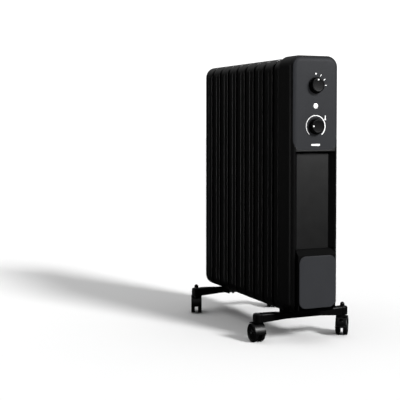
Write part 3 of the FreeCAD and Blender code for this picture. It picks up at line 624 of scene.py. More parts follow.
# fins
@dataclass
class Fins:
    """The row of pressed fins, each with rolled side bands and an embossed oil channel."""

    count: int = 9
    sheet: float = 0.6 * MM
    lip: float = 5 * MM
    bend: float = 2 * MM
    corner: float = 26 * MM
    channel_half: float = 36 * MM
    channel_corner: float = 34 * MM
    island_half: float = 15 * MM
    island_corner: float = 13 * MM
    margin: float = 16 * MM
    crest: float = 5.5 * MM
    header_inset: float = 44 * MM
    collar: float = 17 * MM
    steps: int = 10

    def build(self) -> None:
        """Make every fin."""
        front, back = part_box("fin_1")
        self.pitch = back.y - front.y
        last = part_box(f"fin_{self.count}")
        self.half, self.low, self.high = back.x, front.z, back.z
        self.face = last[1].y - last[0].y - self.pitch / 2
        for number in range(1, self.count + 1):
            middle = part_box(f"fin_{number}")[0].y + self.pitch / 2
            self.fin(number, middle)

    def outline(self, inset: float) -> list[Point]:
        """Give the fin's outline drawn in by a distance."""
        return rounded(self.half - inset, self.low + inset, self.high - inset,
                       self.corner - inset, self.steps)

    def fin(self, number: int, middle: float) -> None:
        """Make one fin.

        Args:
            number: Its place in the row, from the housing.
            middle: Depth of its weld plane.
        """
        skin = Skin()
        self._band(skin, middle)
        for side in (-1, 1):
            self._web(skin, middle, side)
            if side < 0 or number < self.count:
                self._collars(skin, middle, side)
            else:
                self._discs(skin, middle)
        Piece(f"fin_pressing_{number}", Finish.FIN, "heater").make(skin.mesh("fin"), [f"fin_{number}"])

    def _band(self, skin: Skin, middle: float) -> None:
        """Add the side band, with its folded lips and a seam along the weld plane.

        Args:
            skin: The fin's mesh.
            middle: Depth of its weld plane.
        """
        face, bend, sheet, lip = self.face, self.bend, self.sheet, self.lip
        front = [(d, y) for d, y in arc(bend, -face + bend, bend, 270, 180, 6)]
        seam = [(0, -0.9 * MM), (0.12 * MM, -0.5 * MM), (0.42 * MM, 0)]
        inner = [(d, y) for d, y in arc(bend, -face + bend, bend - sheet, 180, 270, 4)]
        edge = [(lip, -face + sheet), (lip + 0.25 * MM, -face + sheet / 2), (lip, -face)]
        outer = front + seam
        mirrored = [(d, -y) for d, y in reversed(front + seam[:-1])]
        back_edge = [(d, -y) for d, y in reversed(edge)]
        back_inner = [(d, -y) for d, y in reversed(inner)]
        profile = outer + mirrored + back_edge + back_inner + inner + edge
        skin.stack([[(x, middle + y, z) for x, z in self.outline(d)] for d, y in profile], wrap=True)

    def _web(self, skin: Skin, middle: float, side: int) -> None:
        """Add one pressing's web, with the oil channel that runs round its island.

        Args:
            skin: The fin's mesh.
            middle: Depth of its weld plane.
            side: -1 for the front pressing, 1 for the rear one.
        """
        loop = rounded(self.channel_half, self.low + self.margin, self.high - self.margin,
                       self.channel_corner, self.steps)
        drop = self.margin + (self.channel_half - self.island_half) * 2
        island = rounded(self.island_half, self.low + drop, self.high - drop,
                         self.island_corner, self.steps)
        rise = [(0, 0), (0.03, 0.04), (0.07, 0.2), (0.13, 0.62), (0.18, 0.86), (0.24, 0.97), (0.34, 1)]
        shape = rise + [(1 - s, h) for s, h in reversed(rise)]
        rings = [[(x, middle + side * self.sheet, z) for x, z in self.outline(self.sheet)]]
        for share, height in shape:
            depth = middle + side * (self.sheet + (self.crest - self.sheet) * height)
            rings.append([(a[0] + (b[0] - a[0]) * share, depth, a[1] + (b[1] - a[1]) * share)
                          for a, b in zip(loop, island)])
        for inset, lift in ((3.0, 0.0), (4.2, 0.5), (5.6, 0.9)):
            pad = rounded(self.island_half - inset * MM, self.low + drop + 2 * inset * MM,
                          self.high - drop - 2 * inset * MM, self.island_corner - inset * MM, self.steps)
            rings.append([(x, middle + side * (self.sheet + lift * MM), z) for x, z in pad])
        made = [skin.ring(r) for r in rings]
        skin.join(*made)
        skin.faces.append(made[-1])

    def _headers(self) -> tuple[float, float]:
        """Give the heights of the two header axes."""
        return self.low + self.header_inset, self.high - self.header_inset

    def _collars(self, skin: Skin, middle: float, side: int) -> None:
        """Add the collars to the next fin, each flared at its root and beaded at its weld.

        Args:
            skin: The fin's mesh.
            middle: Depth of its weld plane.
            side: -1 for the front pressing, 1 for the rear one.
        """
        root, end = self.crest - 0.6 * MM, self.pitch / 2
        flare = [(self.collar + 3.4 * MM, root), (self.collar + 1.8 * MM, root + 0.9 * MM),
                 (self.collar + 0.5 * MM, root + 2.4 * MM), (self.collar, root + 4.2 * MM)]
        bead = [(self.collar, end - 1.4 * MM), (self.collar + 0.7 * MM, end - 0.7 * MM),
                (self.collar + 0.9 * MM, end)]
        bore = [(self.collar - 1.5 * MM, end), (self.collar - 1.5 * MM, root)]
        for height in self._headers():
            skin.lathe(flare + bead + bore, lambda u, v, w: (u, middle + side * w, height + v), wrap=True)

    def _discs(self, skin: Skin, middle: float) -> None:
        """Add the shallow pressed discs that close the headers on the last fin.

        Args:
            skin: The fin's mesh.
            middle: Depth of its weld plane.
        """
        root = self.crest - 0.5 * MM
        profile = [(self.collar, root), (self.collar - 0.6 * MM, root + 0.8 * MM),
                   (self.collar - 2 * MM, root + 1.3 * MM), (self.collar - 8 * MM, root + 1.3 * MM),
                   (self.collar - 9.5 * MM, root + 0.8 * MM)]
        for height in self._headers():
            skin.lathe(profile, lambda u, v, w: (u, middle + w, height + v))


# housing and panel
@dataclass
class Housing:
    """The plastic shell over the front of the fins, with its panel, lens and printed marks."""

    corner: float = 24 * MM
    round: float = 13 * MM
    wall: float = 2.5 * MM
    recess_floor: float = -211 * MM
    recess_half: float = 39 * MM
    recess_rim: float = 50 * MM
    recess_high: float = 416 * MM
    bay_half: float = 47 * MM
    bay_high: float = 207 * MM
    panel_corner: float = 21 * MM
    panel_skin: float = 1.5 * MM
    scale_radius: float = 24.5 * MM
    arc_radius: float = 23.2 * MM
    lens_radius: float = 5.6 * MM
    lens_rise: float = 1.4 * MM
    shaft_hole: float = 4.5 * MM
    mark_dot: float = 1.9 * MM
    mark_size: tuple[float, float] = (2.4 * MM, 0.75 * MM)
    arc_from: float = 220.0
    arc_turn: float = 280.0
    icon_place: tuple[float, float] = (23.4 * MM, 18 * MM)
    label_size: tuple[float, float, float, float] = (10.6 * MM, 428.0 * MM, 432.2 * MM, 1.2 * MM)
    ink: float = 0.12 * MM

    def build(self) -> None:
        """Make the shell, the panel and what sits on it."""
        low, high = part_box("housing_shell")
        self.half, self.low, self.high, self.front, self.back = high.x, low.z, high.z, low.y, high.y
        self.panel_low, self.panel_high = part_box("control_panel")
        self.shell()
        self.panel()
        self.lens()
        self.mode_marks()
        self.heat_arc()
        self.heat_icon()
        self.label()

    def surface(self, x: float, z: float, inset: float = 0.0) -> float:
        """Find the depth of the shell's front at a place.

        Args:
            x: The place, across.
            z: The place, up.
            inset: How far the form is drawn in.

        Returns:
            The depth there.
        """
        r = self.corner
        across, up = self.half - r - abs(x), min(z - self.low, self.high - z) - r
        if across < 0 and up < 0:
            edge = r - math.hypot(across, up)
        else:
            edge = min(self.half - abs(x), z - self.low, self.high - z)
        curve, edge = self.round - inset, edge - inset
        if edge >= curve:
            return self.front + inset
        return self.front + self.round - math.sqrt(max(curve ** 2 - (curve - max(edge, 0.0)) ** 2, 0.0))

    def shell(self) -> None:
        """Make the shell with its long recess, the bay round the tub and the panel's seat."""
        bend = [(self.round - d, y) for d, y in arc(0, self.front + self.round, self.round, 0, -90, 10)]
        wall = self.wall
        inside = [(wall + 8 * MM, self.recess_floor + wall), (wall, self.recess_floor + wall + 8 * MM),
                  (wall, self.back)]
        skin = Skin()
        rings = [(0.0, self.back)] + bend + [(self.round + 8 * MM, self.front)]
        made, hollow = ([skin.ring([(x, y, z) for x, z in self.outline(d)]) for d, y in line]
                        for line in (rings, inside))
        skin.join(*made)
        skin.join(*hollow)
        skin.join(hollow[-1], made[0])
        skin.faces += [made[-1], hollow[0]]
        piece = Piece("housing", Finish.HOUSING, "heater", bevel=0.5 * MM)
        piece.make(skin.mesh("housing"), ["housing_shell"], self._cutters())

    def outline(self, inset: float) -> list[Point]:
        """Give the shell's outline drawn in by a distance."""
        return rounded(self.half - inset, self.low + inset, self.high - inset, self.corner - inset, 12)

    def _cutters(self) -> list[bpy.types.Mesh]:
        """Make the shapes that are cut from the shell."""
        under = self.low - 1 * MM
        slope = [(-self.recess_rim, self.front - 0.6 * MM), (self.recess_rim, self.front - 0.6 * MM),
                 (self.recess_half, self.recess_floor), (-self.recess_half, self.recess_floor)]
        recess, bay, notch = Skin(), Skin(), Skin()
        recess.extruded(slope, under, self.recess_high, upright)
        bay.extruded(rounded(self.bay_half, under, self.bay_high, 0),
                     self.front - 2 * MM, self.recess_floor, facing_y)
        notch.extruded(rounded(2 * self.half, under, self.low + self.corner, 0),
                       self.back - 9.4 * MM, self.back + 1 * MM, facing_y)
        seat = self._facing(0.3 * MM, self.panel_skin + 0.05 * MM, self.front - 6 * MM)
        return [recess.mesh("recess"), bay.mesh("bay"), notch.mesh("notch"), seat]

    def _facing(self, grow: float, depth: float, flat: float = 0.0) -> bpy.types.Mesh:
        """Make a sheet that follows the shell's rounded front.

        Args:
            grow: How far its outline stands outside the panel's.
            depth: Its back, inside the shell's surface.
            flat: Depth of a flat front; 0 makes the front follow the surface.

        Returns:
            The closed mesh.
        """
        half = self.panel_high.x + grow
        low, high = self.panel_low.z - grow, self.panel_high.z + grow
        insets = [0.0, 1.0, 2.0, 3.2, 4.6, 6.2, 8.0, 10.0, 12.0, 14.0]
        rings = [rounded(half - d * MM, low + d * MM, high - d * MM, self.panel_corner + grow - d * MM, 12)
                 for d in insets]
        skin = Skin()
        fronts = [skin.ring([(x, flat or self.surface(x, z), z) for x, z in r]) for r in rings]
        backs = [skin.ring([(x, self.surface(x, z, depth), z) for x, z in r]) for r in rings]
        for side in (fronts, backs):
            skin.join(*side)
            skin.faces.append(side[-1])
        skin.join(fronts[0], backs[0])
        return skin.mesh("facing")

    def panel(self) -> None:
        """Make the thin grey panel, with its holes."""
        drills = Skin()
        holes = {"mode_knob": self.shaft_hole, "thermostat_knob": self.shaft_hole,
                 "indicator_lens": self.lens_radius + 0.2 * MM}
        for node, radius in holes.items():
            hole = disc(0, middle_of(node)[2], radius)
            drills.extruded(hole, self.front - 3 * MM, self.front + 4 * MM, facing_y)
        piece = Piece("panel", Finish.PANEL, "heater", bevel=0.3 * MM)
        piece.make(self._facing(0.0, self.panel_skin), ["control_panel"], [drills.mesh("drills")])

    def lens(self) -> None:
        """Make the domed indicator lens."""
        height, radius = middle_of("indicator_lens")[2], self.lens_radius
        dome = [(radius * math.cos(a), self.front + 0.2 * MM - self.lens_rise * math.sin(a))
                for a in (math.radians(8 * i) for i in range(12))]
        skin = Skin()
        skin.lathe([(radius, self.front + 5 * MM)] + dome, lambda u, v, w: (u, w, height + v))
        Piece("indicator_dome", Finish.LENS, "heater").make(skin.mesh("lens"), ["indicator_lens"])

    def printed(self, name: str, shapes: Sequence[Sequence[Point]]) -> None:
        """Print flat shapes on the panel.

        Args:
            name: Name of the piece.
            shapes: Outlines, across and up.
        """
        skin = Skin()
        for outline in shapes:
            skin.extruded(outline, self.front - self.ink, self.front + 0.2 * MM, facing_y)
        Piece(name, Finish.PRINT, "heater", slot="lens_white").make(skin.mesh(name))

    def mode_marks(self) -> None:
        """Print a dot for off and a stroke for each heat level."""
        height = middle_of("mode_knob")[2]
        marks = [disc(0, height + self.scale_radius, self.mark_dot)]
        for degrees in (30, 60, 90):
            out = Vector((math.sin(math.radians(degrees)), math.cos(math.radians(degrees))))
            side = Vector((out.y, -out.x))
            middle = Vector((0, height)) + out * self.scale_radius
            length, width = self.mark_size
            corners = [(length, 0.6), (length, -0.6), (length * 0.85, -1), (-length * 0.85, -1),
                       (-length, -0.6), (-length, 0.6), (-length * 0.85, 1), (length * 0.85, 1)]
            marks.append([tuple(middle + out * a + side * (b * width)) for a, b in corners])
        self.printed("mode_marks", marks)

    def heat_arc(self) -> None:
        """Print the arc that grows from cool to hot round the thermostat knob."""
        height, steps = middle_of("thermostat_knob")[2], 72
        outer, inner = [], []
        for i in range(steps + 1):
            share = i / steps
            turn = math.radians(self.arc_from + self.arc_turn * share)
            half = (0.5 + 0.7 * share) * MM
            for side, reach in ((outer, self.arc_radius + half), (inner, self.arc_radius - half)):
                side.append((reach * math.sin(turn), height + reach * math.cos(turn)))
        self.printed("heat_arc", [outer + inner[::-1]])

    def heat_icon(self) -> None:
        """Print a small thermometer beside the arc's hot end."""
        x, z = self.icon_place[0], middle_of("thermostat_knob")[2] + self.icon_place[1]
        bulb = arc(x, z - 2.8 * MM, 2.1 * MM, 118, 422, 20)
        stem = arc(x, z + 4.2 * MM, 1.0 * MM, 0, 180, 8)
        self.printed("heat_icon", [bulb + stem])

    def label(self) -> None:
        """Print a plain bar low on the panel."""
        self.printed("label_bar", [rounded(*self.label_size, 6)])


# knobs
@dataclass
class Knob:
    """A fluted knob with a wide foot, a chamfered crown and a white pointer dot."""

    node: str
    body: str
    pointer: float
    flutes: int = 24
    flute_depth: float = 1.3 * MM
    flute_foot: float = 2.4 * MM
    flute_crown: float = 0.9 * MM
    flute_rim: float = 3.6 * MM
    dot_radius: float = 1.9 * MM
    dot_reach: float = 11.6 * MM

    def build(self) -> None:
        """Make the knob and its pointer."""
        low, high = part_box(self.node)
        height, radius = middle_of(self.node)[2], (high.x - low.x) / 2
        depth = high.y - low.y
        foot, crown = high.y, low.y

        def place(u: float, v: float, w: float) -> tuple[float, float, float]:
            """Turn the profile's axes into the heater's."""
            return (u, foot - w, height + v)

        def reach(r: float, h: float, a: float) -> float:
            """Cut the flutes into the grip, between its foot and crown.

            Args:
                r: The profile's radius.
                h: Height above the foot.
                a: Angle round the axis.

            Returns:
                The radius there.
            """
            if not self.flute_foot < h < depth - self.flute_crown or r < radius - self.flute_rim:
                return r
            wave = max(0.0, math.cos(a * self.flutes)) ** 1.5
            return r - self.flute_depth * wave

        grip = radius - 1.4 * MM
        profile = [(radius - 1 * MM, 0), (radius - 0.3 * MM, 0.15 * MM), (radius, 0.6 * MM),
                   (radius, 1.5 * MM), (radius - 0.3 * MM, 2.0 * MM), (grip + 0.2 * MM, 2.3 * MM),
                   (grip, 2.6 * MM), (grip - 0.1 * MM, 4 * MM), (grip - 0.6 * MM, depth - 2.4 * MM),
                   (grip - 0.9 * MM, depth - 1.6 * MM), (grip - 1.5 * MM, depth - 0.8 * MM),
                   (grip - 2.4 * MM, depth - 0.2 * MM), (grip - 3.4 * MM, depth),
                   (grip - 4.2 * MM, depth - 0.15 * MM), (grip - 5.2 * MM, depth - 0.45 * MM),
                   (5 * MM, depth - 0.7 * MM), (1 * MM, depth - 0.72 * MM)]
        skin = Skin()
        skin.lathe(profile, place, steps=self.flutes * 10, reach=reach)
        Piece(f"{self.node}_cap", Finish.KNOB, self.body, smooth=50).make(skin.mesh("knob"), [self.node])
        turn = math.radians(self.pointer)
        x, z = self.dot_reach * math.sin(turn), height + self.dot_reach * math.cos(turn)
        dot = Skin()
        dot.lathe([(self.dot_radius, 1.2 * MM), (self.dot_radius, 0.25 * MM),
                   (self.dot_radius - 0.3 * MM, 0.05 * MM), (0.3 * MM, 0.02 * MM)],
                  lambda u, v, w: (x + u, crown + w, z + v), steps=28)
        Piece(f"{self.node}_pointer", Finish.PRINT, self.body, slot="lens_white").make(dot.mesh("dot"))


# cord storage
@dataclass
class StorageDoor:
    """The drop-down door of the cord bay."""

    corner: float = 16 * MM
    edge: float = 1.8 * MM
    skin: float = 3 * MM

    def build(self) -> None:
        """Make the door with its ribs, knuckles and latch tab."""
        low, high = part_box("cord_door")
        front, half = low.y, high.x
        back = front + self.skin
        bend = [(self.edge - d, y) for d, y in arc(0, front + self.edge, self.edge, 0, -90, 6)]
        rings = [(0.5 * MM, back), (0.0, back - 0.5 * MM)] + bend + [(4 * MM, front)]
        skin = Skin()
        skin.stack([[(x, y, z) for x, z in rounded(half - d, low.z + d, high.z - d, self.corner - d, 12)]
                    for d, y in rings])
        self._ribs(skin, back, high.z)
        self._knuckles(skin, back)
        Piece("storage_door", Finish.PANEL, "storage_door").make(skin.mesh("door"), ["cord_door"])

    @staticmethod
    def _ribs(skin: Skin, back: float, top: float) -> None:
        """Add two crossing ribs and the latch tab inside the door.

        Args:
            skin: The door's mesh.
            back: Depth of its inner face.
            top: Height of its upper edge.
        """
        for half, low, high in ((33 * MM, 128 * MM, 129.2 * MM), (33 * MM, 150 * MM, 151.2 * MM)):
            skin.extruded(rounded(half, low, high, 0.5 * MM, 3), back - 0.3 * MM, back + 1.6 * MM, facing_y)
        skin.extruded(rounded(7 * MM, top - 9 * MM, top - 7.5 * MM, 0.5 * MM, 3), back - 0.3 * MM,
                      back + 2.5 * MM, facing_y)

    @staticmethod
    def _knuckles(skin: Skin, back: float) -> None:
        """Add the two knuckles that turn on the pin.

        Args:
            skin: The door's mesh.
            back: Depth of its inner face.
        """
        _, depth, height = middle_of("door_pin")
        outer, bore = 2.8 * MM, 1.56 * MM
        for start, end in ((-32.5 * MM, -24 * MM), (24 * MM, 32.5 * MM)):
            ring = [(bore, start), (outer - 0.3 * MM, start), (outer, start + 0.3 * MM),
                    (outer, end - 0.3 * MM), (outer - 0.3 * MM, end), (bore, end)]
            skin.lathe(ring, lambda u, v, w: (w, depth + u, height + v), steps=32, wrap=True)
            arm = [(back - 0.3 * MM, height - 2.6 * MM), (depth - 2 * MM, height - 2.0 * MM),
                   (depth - 2 * MM, height + 2.0 * MM), (back - 0.3 * MM, height + 2.6 * MM)]
            skin.extruded(arm, start + 0.3 * MM, end - 0.3 * MM, lambda u, v, w: (w, u, v))


# foot bars
@dataclass
class FootBar:
    """A pressed steel channel with a caster socket at each end and a saddle under the header."""

    node: str
    end: int
    half: float = 10 * MM
    sheet: float = 2 * MM
    socket: float = 11.5 * MM
    saddle_low: float = 50 * MM
    saddle_high: float = 61 * MM
    saddle_reach: float = 41.4 * MM

    def build(self) -> None:
        """Make the bar."""
        low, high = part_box(self.node)
        stems = [j for j in frame["joints"] if j["name"].startswith("swivel_")]
        line = min((s["pos_m"][1] for s in stems), key=lambda y: min(abs(y - low.y), abs(y - high.y)))
        reach = max(s["pos_m"][0] for s in stems)
        skin = Skin()
        self._arm(skin, line, reach)
        self._saddle(skin, line)
        for x in (-reach, reach):
            self._socket(skin, x, line, low.z, high.z)
        name = f"{self.node}_pressing"
        Piece(name, Finish.BAR, "heater", bevel=0.35 * MM).make(skin.mesh("bar"), [self.node])

    def _arm(self, skin: Skin, line: float, reach: float) -> None:
        """Add the channel, whose depth changes along its length.

        Args:
            skin: The bar's mesh.
            line: Depth of its middle line.
            reach: Distance of the stems from the middle.
        """
        stations = [(-reach + 6 * MM, 44.4, 63.0), (-82 * MM, 45.2, 62.9), (-70 * MM, 46.0, 62.6),
                    (-44 * MM, 47.8, 61.0), (44 * MM, 47.8, 61.0), (70 * MM, 46.0, 62.6),
                    (82 * MM, 45.2, 62.9), (reach - 6 * MM, 44.4, 63.0)]
        half, inner, curve = self.half, self.half - self.sheet, 3.2 * MM
        rings = []
        for x, bottom, top in stations:
            bottom, top = bottom * MM, top * MM
            left = arc(-half + curve, top - curve, curve, 180, 90, 5)
            right = arc(half - curve, top - curve, curve, 90, 0, 5)
            under = top - self.sheet
            outside = [(-half, bottom)] + left + right + [(half, bottom)]
            inside = [(inner, bottom), (inner, under - 1 * MM), (inner - 1 * MM, under),
                      (1 * MM - inner, under), (-inner, under - 1 * MM), (-inner, bottom)]
            rings.append([(x, line + u, v) for u, v in outside + inside])
        skin.stack(rings)

    def _saddle(self, skin: Skin, line: float) -> None:
        """Add the flanged plate that reaches in to the U-bolt.

        Args:
            skin: The bar's mesh.
            line: Depth of the bar's middle line.
        """
        inner = line + self.end * (self.half - 2 * MM)
        tip = line + self.end * self.saddle_reach
        bend = tip - self.end * 4 * MM
        plate = [(-39 * MM, inner), (39 * MM, inner), (34.5 * MM, bend),
                 (31 * MM, tip), (-31 * MM, tip), (-34.5 * MM, bend)]
        skin.extruded(plate, self.saddle_high - self.sheet, self.saddle_high, upright)
        for side in (-1, 1):
            flange = [(side * 39 * MM, inner), (side * 34.5 * MM, bend),
                      (side * 32.7 * MM, bend), (side * 37.2 * MM, inner)]
            skin.extruded(flange, self.saddle_low, self.saddle_high - 0.5 * MM, upright)

    def _socket(self, skin: Skin, x: float, line: float, low: float, high: float) -> None:
        """Add the round cup that holds a caster's stem.

        Args:
            skin: The bar's mesh.
            x: The stem's place, across.
            line: Depth of the bar's middle line.
            low: The cup's lower end.
            high: Its upper end.
        """
        r = self.socket
        profile = [(4.05 * MM, low), (r - 0.8 * MM, low), (r, low + 0.8 * MM), (r, high - 3 * MM),
                   (r - 0.9 * MM, high - 0.9 * MM), (r - 3 * MM, high), (4.05 * MM, high)]
        skin.lathe(profile, lambda u, v, w: (x + u, line + v, w), steps=40, wrap=True)


# casters
@dataclass
class Caster:
    """A twin-wheel caster, drawn about its stem and turned to where it has swivelled."""

    corner: str
    braked: bool
    wheel: float = 20.5 * MM
    width: float = 9 * MM
    inner: float = 4 * MM
    axle: float = 2.5 * MM
    trail: float = 8 * MM
    hood_inner: float = 21.3 * MM
    hood_outer: float = 23.3 * MM
    hood_from: float = 68.0
    hood_turn: float = 117.0
    pivot: float = 17.3 * MM
    eye: float = 2.4 * MM
    pin: float = 1.2 * MM
    spokes: int = 6

    def build(self) -> None:
        """Make the fork, both wheels and the brake pedal."""
        joints = {j["name"]: j for j in frame["joints"]}
        stem = joints[f"swivel_{self.corner}"]["pos_m"]
        axis = joints[f"roll_{self.corner}"]["axis"]
        self.turn = (Matrix.Translation((stem[0], stem[1], 0))
                     @ Matrix.Rotation(math.atan2(axis[1], axis[0]), 4, "Z"))
        self.fork()
        for side, letter in ((-1, "a"), (1, "b")):
            self.roller(side, letter)
        if self.braked:
            self.pedal()

    def across(self, u: float, v: float, w: float) -> Vector:
        """Place for shapes about the wheel axle: u along the trail, v up, w along the axle."""
        return self.turn @ Vector((w, self.trail + u, self.wheel + v))

    def roller(self, side: int, letter: str) -> None:
        """Make one wheel, with a crowned tread, a dished face and ribs.

        Args:
            side: -1 or 1, along the axle.
            letter: Ending of the wheel's name.
        """
        r, start, end = self.wheel, self.inner, self.inner + self.width
        half = (start + end) / 2
        profile = [(self.axle, start), (6 * MM, start), (7 * MM, start + 1 * MM),
                   (r - 5 * MM, start + 1 * MM), (r - 4 * MM, start),
                   (r - 1.4 * MM, start), (r - 0.5 * MM, start + 0.5 * MM),
                   (r - 0.12 * MM, start + 1.6 * MM), (r, half), (r - 0.12 * MM, end - 1.8 * MM),
                   (r - 0.6 * MM, end - 0.7 * MM), (r - 1.6 * MM, end), (r - 3.4 * MM, end),
                   (r - 4.2 * MM, end - 0.5 * MM), (r - 4.8 * MM, end - 2 * MM), (7 * MM, end - 2.2 * MM),
                   (6.2 * MM, end - 0.6 * MM), (5.6 * MM, end), (self.axle, end)]
        skin = Skin()
        skin.lathe(profile, lambda u, v, w: self.across(u, v, side * w), steps=72, wrap=True)
        for i in range(self.spokes):
            turn = Matrix.Rotation(2 * math.pi * i / self.spokes, 2)
            rib = [turn @ Vector(p) for p in ((6 * MM, -0.7 * MM), (r - 4.4 * MM, -0.5 * MM),
                                              (r - 4.4 * MM, 0.5 * MM), (6 * MM, 0.7 * MM))]
            skin.extruded(rib, end - 2.4 * MM, end - 0.8 * MM, lambda u, v, w: self.across(u, v, side * w))
        node = f"caster_{self.corner}_wheel_{letter}"
        Piece(f"{node}_rim", Finish.TREAD, f"wheels_{self.corner}").make(skin.mesh("wheel"), [node])

    def fork(self) -> None:
        """Make the hood, the web between the wheels and the stem's boss."""
        wide = self.inner + self.width
        middle = (self.hood_inner + self.hood_outer) / 2
        half = (self.hood_outer - self.hood_inner) / 2
        side = [(wide - 0.6 * MM, -half), (wide, -half * 0.4), (wide, half * 0.3), (wide - 1.0 * MM, half)]
        section = [(-w, b) for w, b in side[:1]] + side + [(-w, b) for w, b in side[:0:-1]]
        skin = Skin()
        turns = [math.radians(self.hood_from + self.hood_turn * i / 22) for i in range(23)]
        skin.stack([[self.across((middle + b) * math.cos(a), (middle + b) * math.sin(a), w)
                     for w, b in section] for a in turns])
        rim = self.hood_inner + 0.4 * MM
        web = arc(0, 0, rim, self.hood_from, self.hood_from + self.hood_turn, 20)
        web += [(-9 * MM, -4 * MM), (9 * MM, -4 * MM)]
        thick = self.inner - 0.4 * MM
        skin.extruded(web, -thick, thick, self.across)
        low, high, bore = 36 * MM, 43.9 * MM, 2.56 * MM
        boss = [(bore, low), (6.2 * MM, low), (6.2 * MM, high - 0.8 * MM), (5.6 * MM, high), (bore, high)]
        skin.lathe(boss, lambda u, v, w: self.turn @ Vector((u, v, w)), steps=32, wrap=True)
        if self.braked:
            self._pedal_ear(skin, thick)
        node = f"caster_{self.corner}_fork"
        piece = Piece(f"{node}_hood", Finish.CASTER, f"caster_{self.corner}", bevel=0.25 * MM)
        piece.make(skin.mesh("fork"), [node])

    def _pedal_ear(self, skin: Skin, thick: float) -> None:
        """Add the ear that carries the pedal's pin.

        Args:
            skin: The fork's mesh.
            thick: Half of its thickness.
        """
        p, r = self.pivot, self.eye
        ear = [(6 * MM, 8 * MM), (p + 1 * MM, p - r)] + arc(p, p, r, -70, 100, 8) + [(6 * MM, 20 * MM)]
        skin.extruded(ear, -thick, thick, self.across)

    def pedal(self) -> None:
        """Make the toe pedal: a curved plate with side cheeks, a turned-out lip and its pin."""
        toe = [(26.6, 11), (27.4, 7), (27.8, 4), (29.6, 3.0), (32.3, 2.6), (32.6, 1.5), (32.3, 0.5),
               (28.8, 0.8), (26.2, 1.4), (25.8, 6.5), (24.6, 10.2)]
        plate = [(17.3, 19.6), (20, 19.8), (23.6, 15.8)] + toe + [(22.4, 13.4), (19.2, 16.4), (17.3, 15)]
        tongue = [(22.6, 13.6), (24.7, 14.1)] + toe
        eye, pin = (arc(self.pivot, self.pivot, radius, 0, 340, 17) for radius in (self.eye, self.pin))
        skin = Skin()
        for start, end in ((-12, -self.inner / MM), (self.inner / MM, 12)):
            skin.extruded([(u * MM, v * MM) for u, v in plate], start * MM, end * MM, self.across)
            skin.extruded(eye, start * MM, end * MM, self.across)
        skin.extruded([(u * MM, v * MM) for u, v in tongue], -self.inner, self.inner, self.across)
        skin.extruded(pin, -12 * MM, 12 * MM, self.across)
        node = f"brake_pedal_{self.corner}"
        piece = Piece(f"{node}_plate", Finish.CASTER, f"brake_{self.corner}", bevel=0.25 * MM)
        piece.make(skin.mesh("pedal"), [node])


# kept CAD nodes
class Kept:
    """The CAD nodes that stay, each with the finish of its slot, but the cord tub with a darker, duller black that
    is painted shade.
    """

    @staticmethod
    def dress() -> None:
        """Give every CAD node its finish."""
        finishes = {finish.value.name: finish for finish in Finish}
        for part in frame["record"]["subparts"]:
            node = frame["nodes"][part["node"]]
            # The cord tub takes the darker, duller black instead of its slot's finish: painted shade for the gap
            # above the door.
            finish = Finish.TUB if part["node"] == "cord_tub" else finishes[part["material_slot"]]
            node.data.materials.clear()
            node.data.materials.append(finish.material)


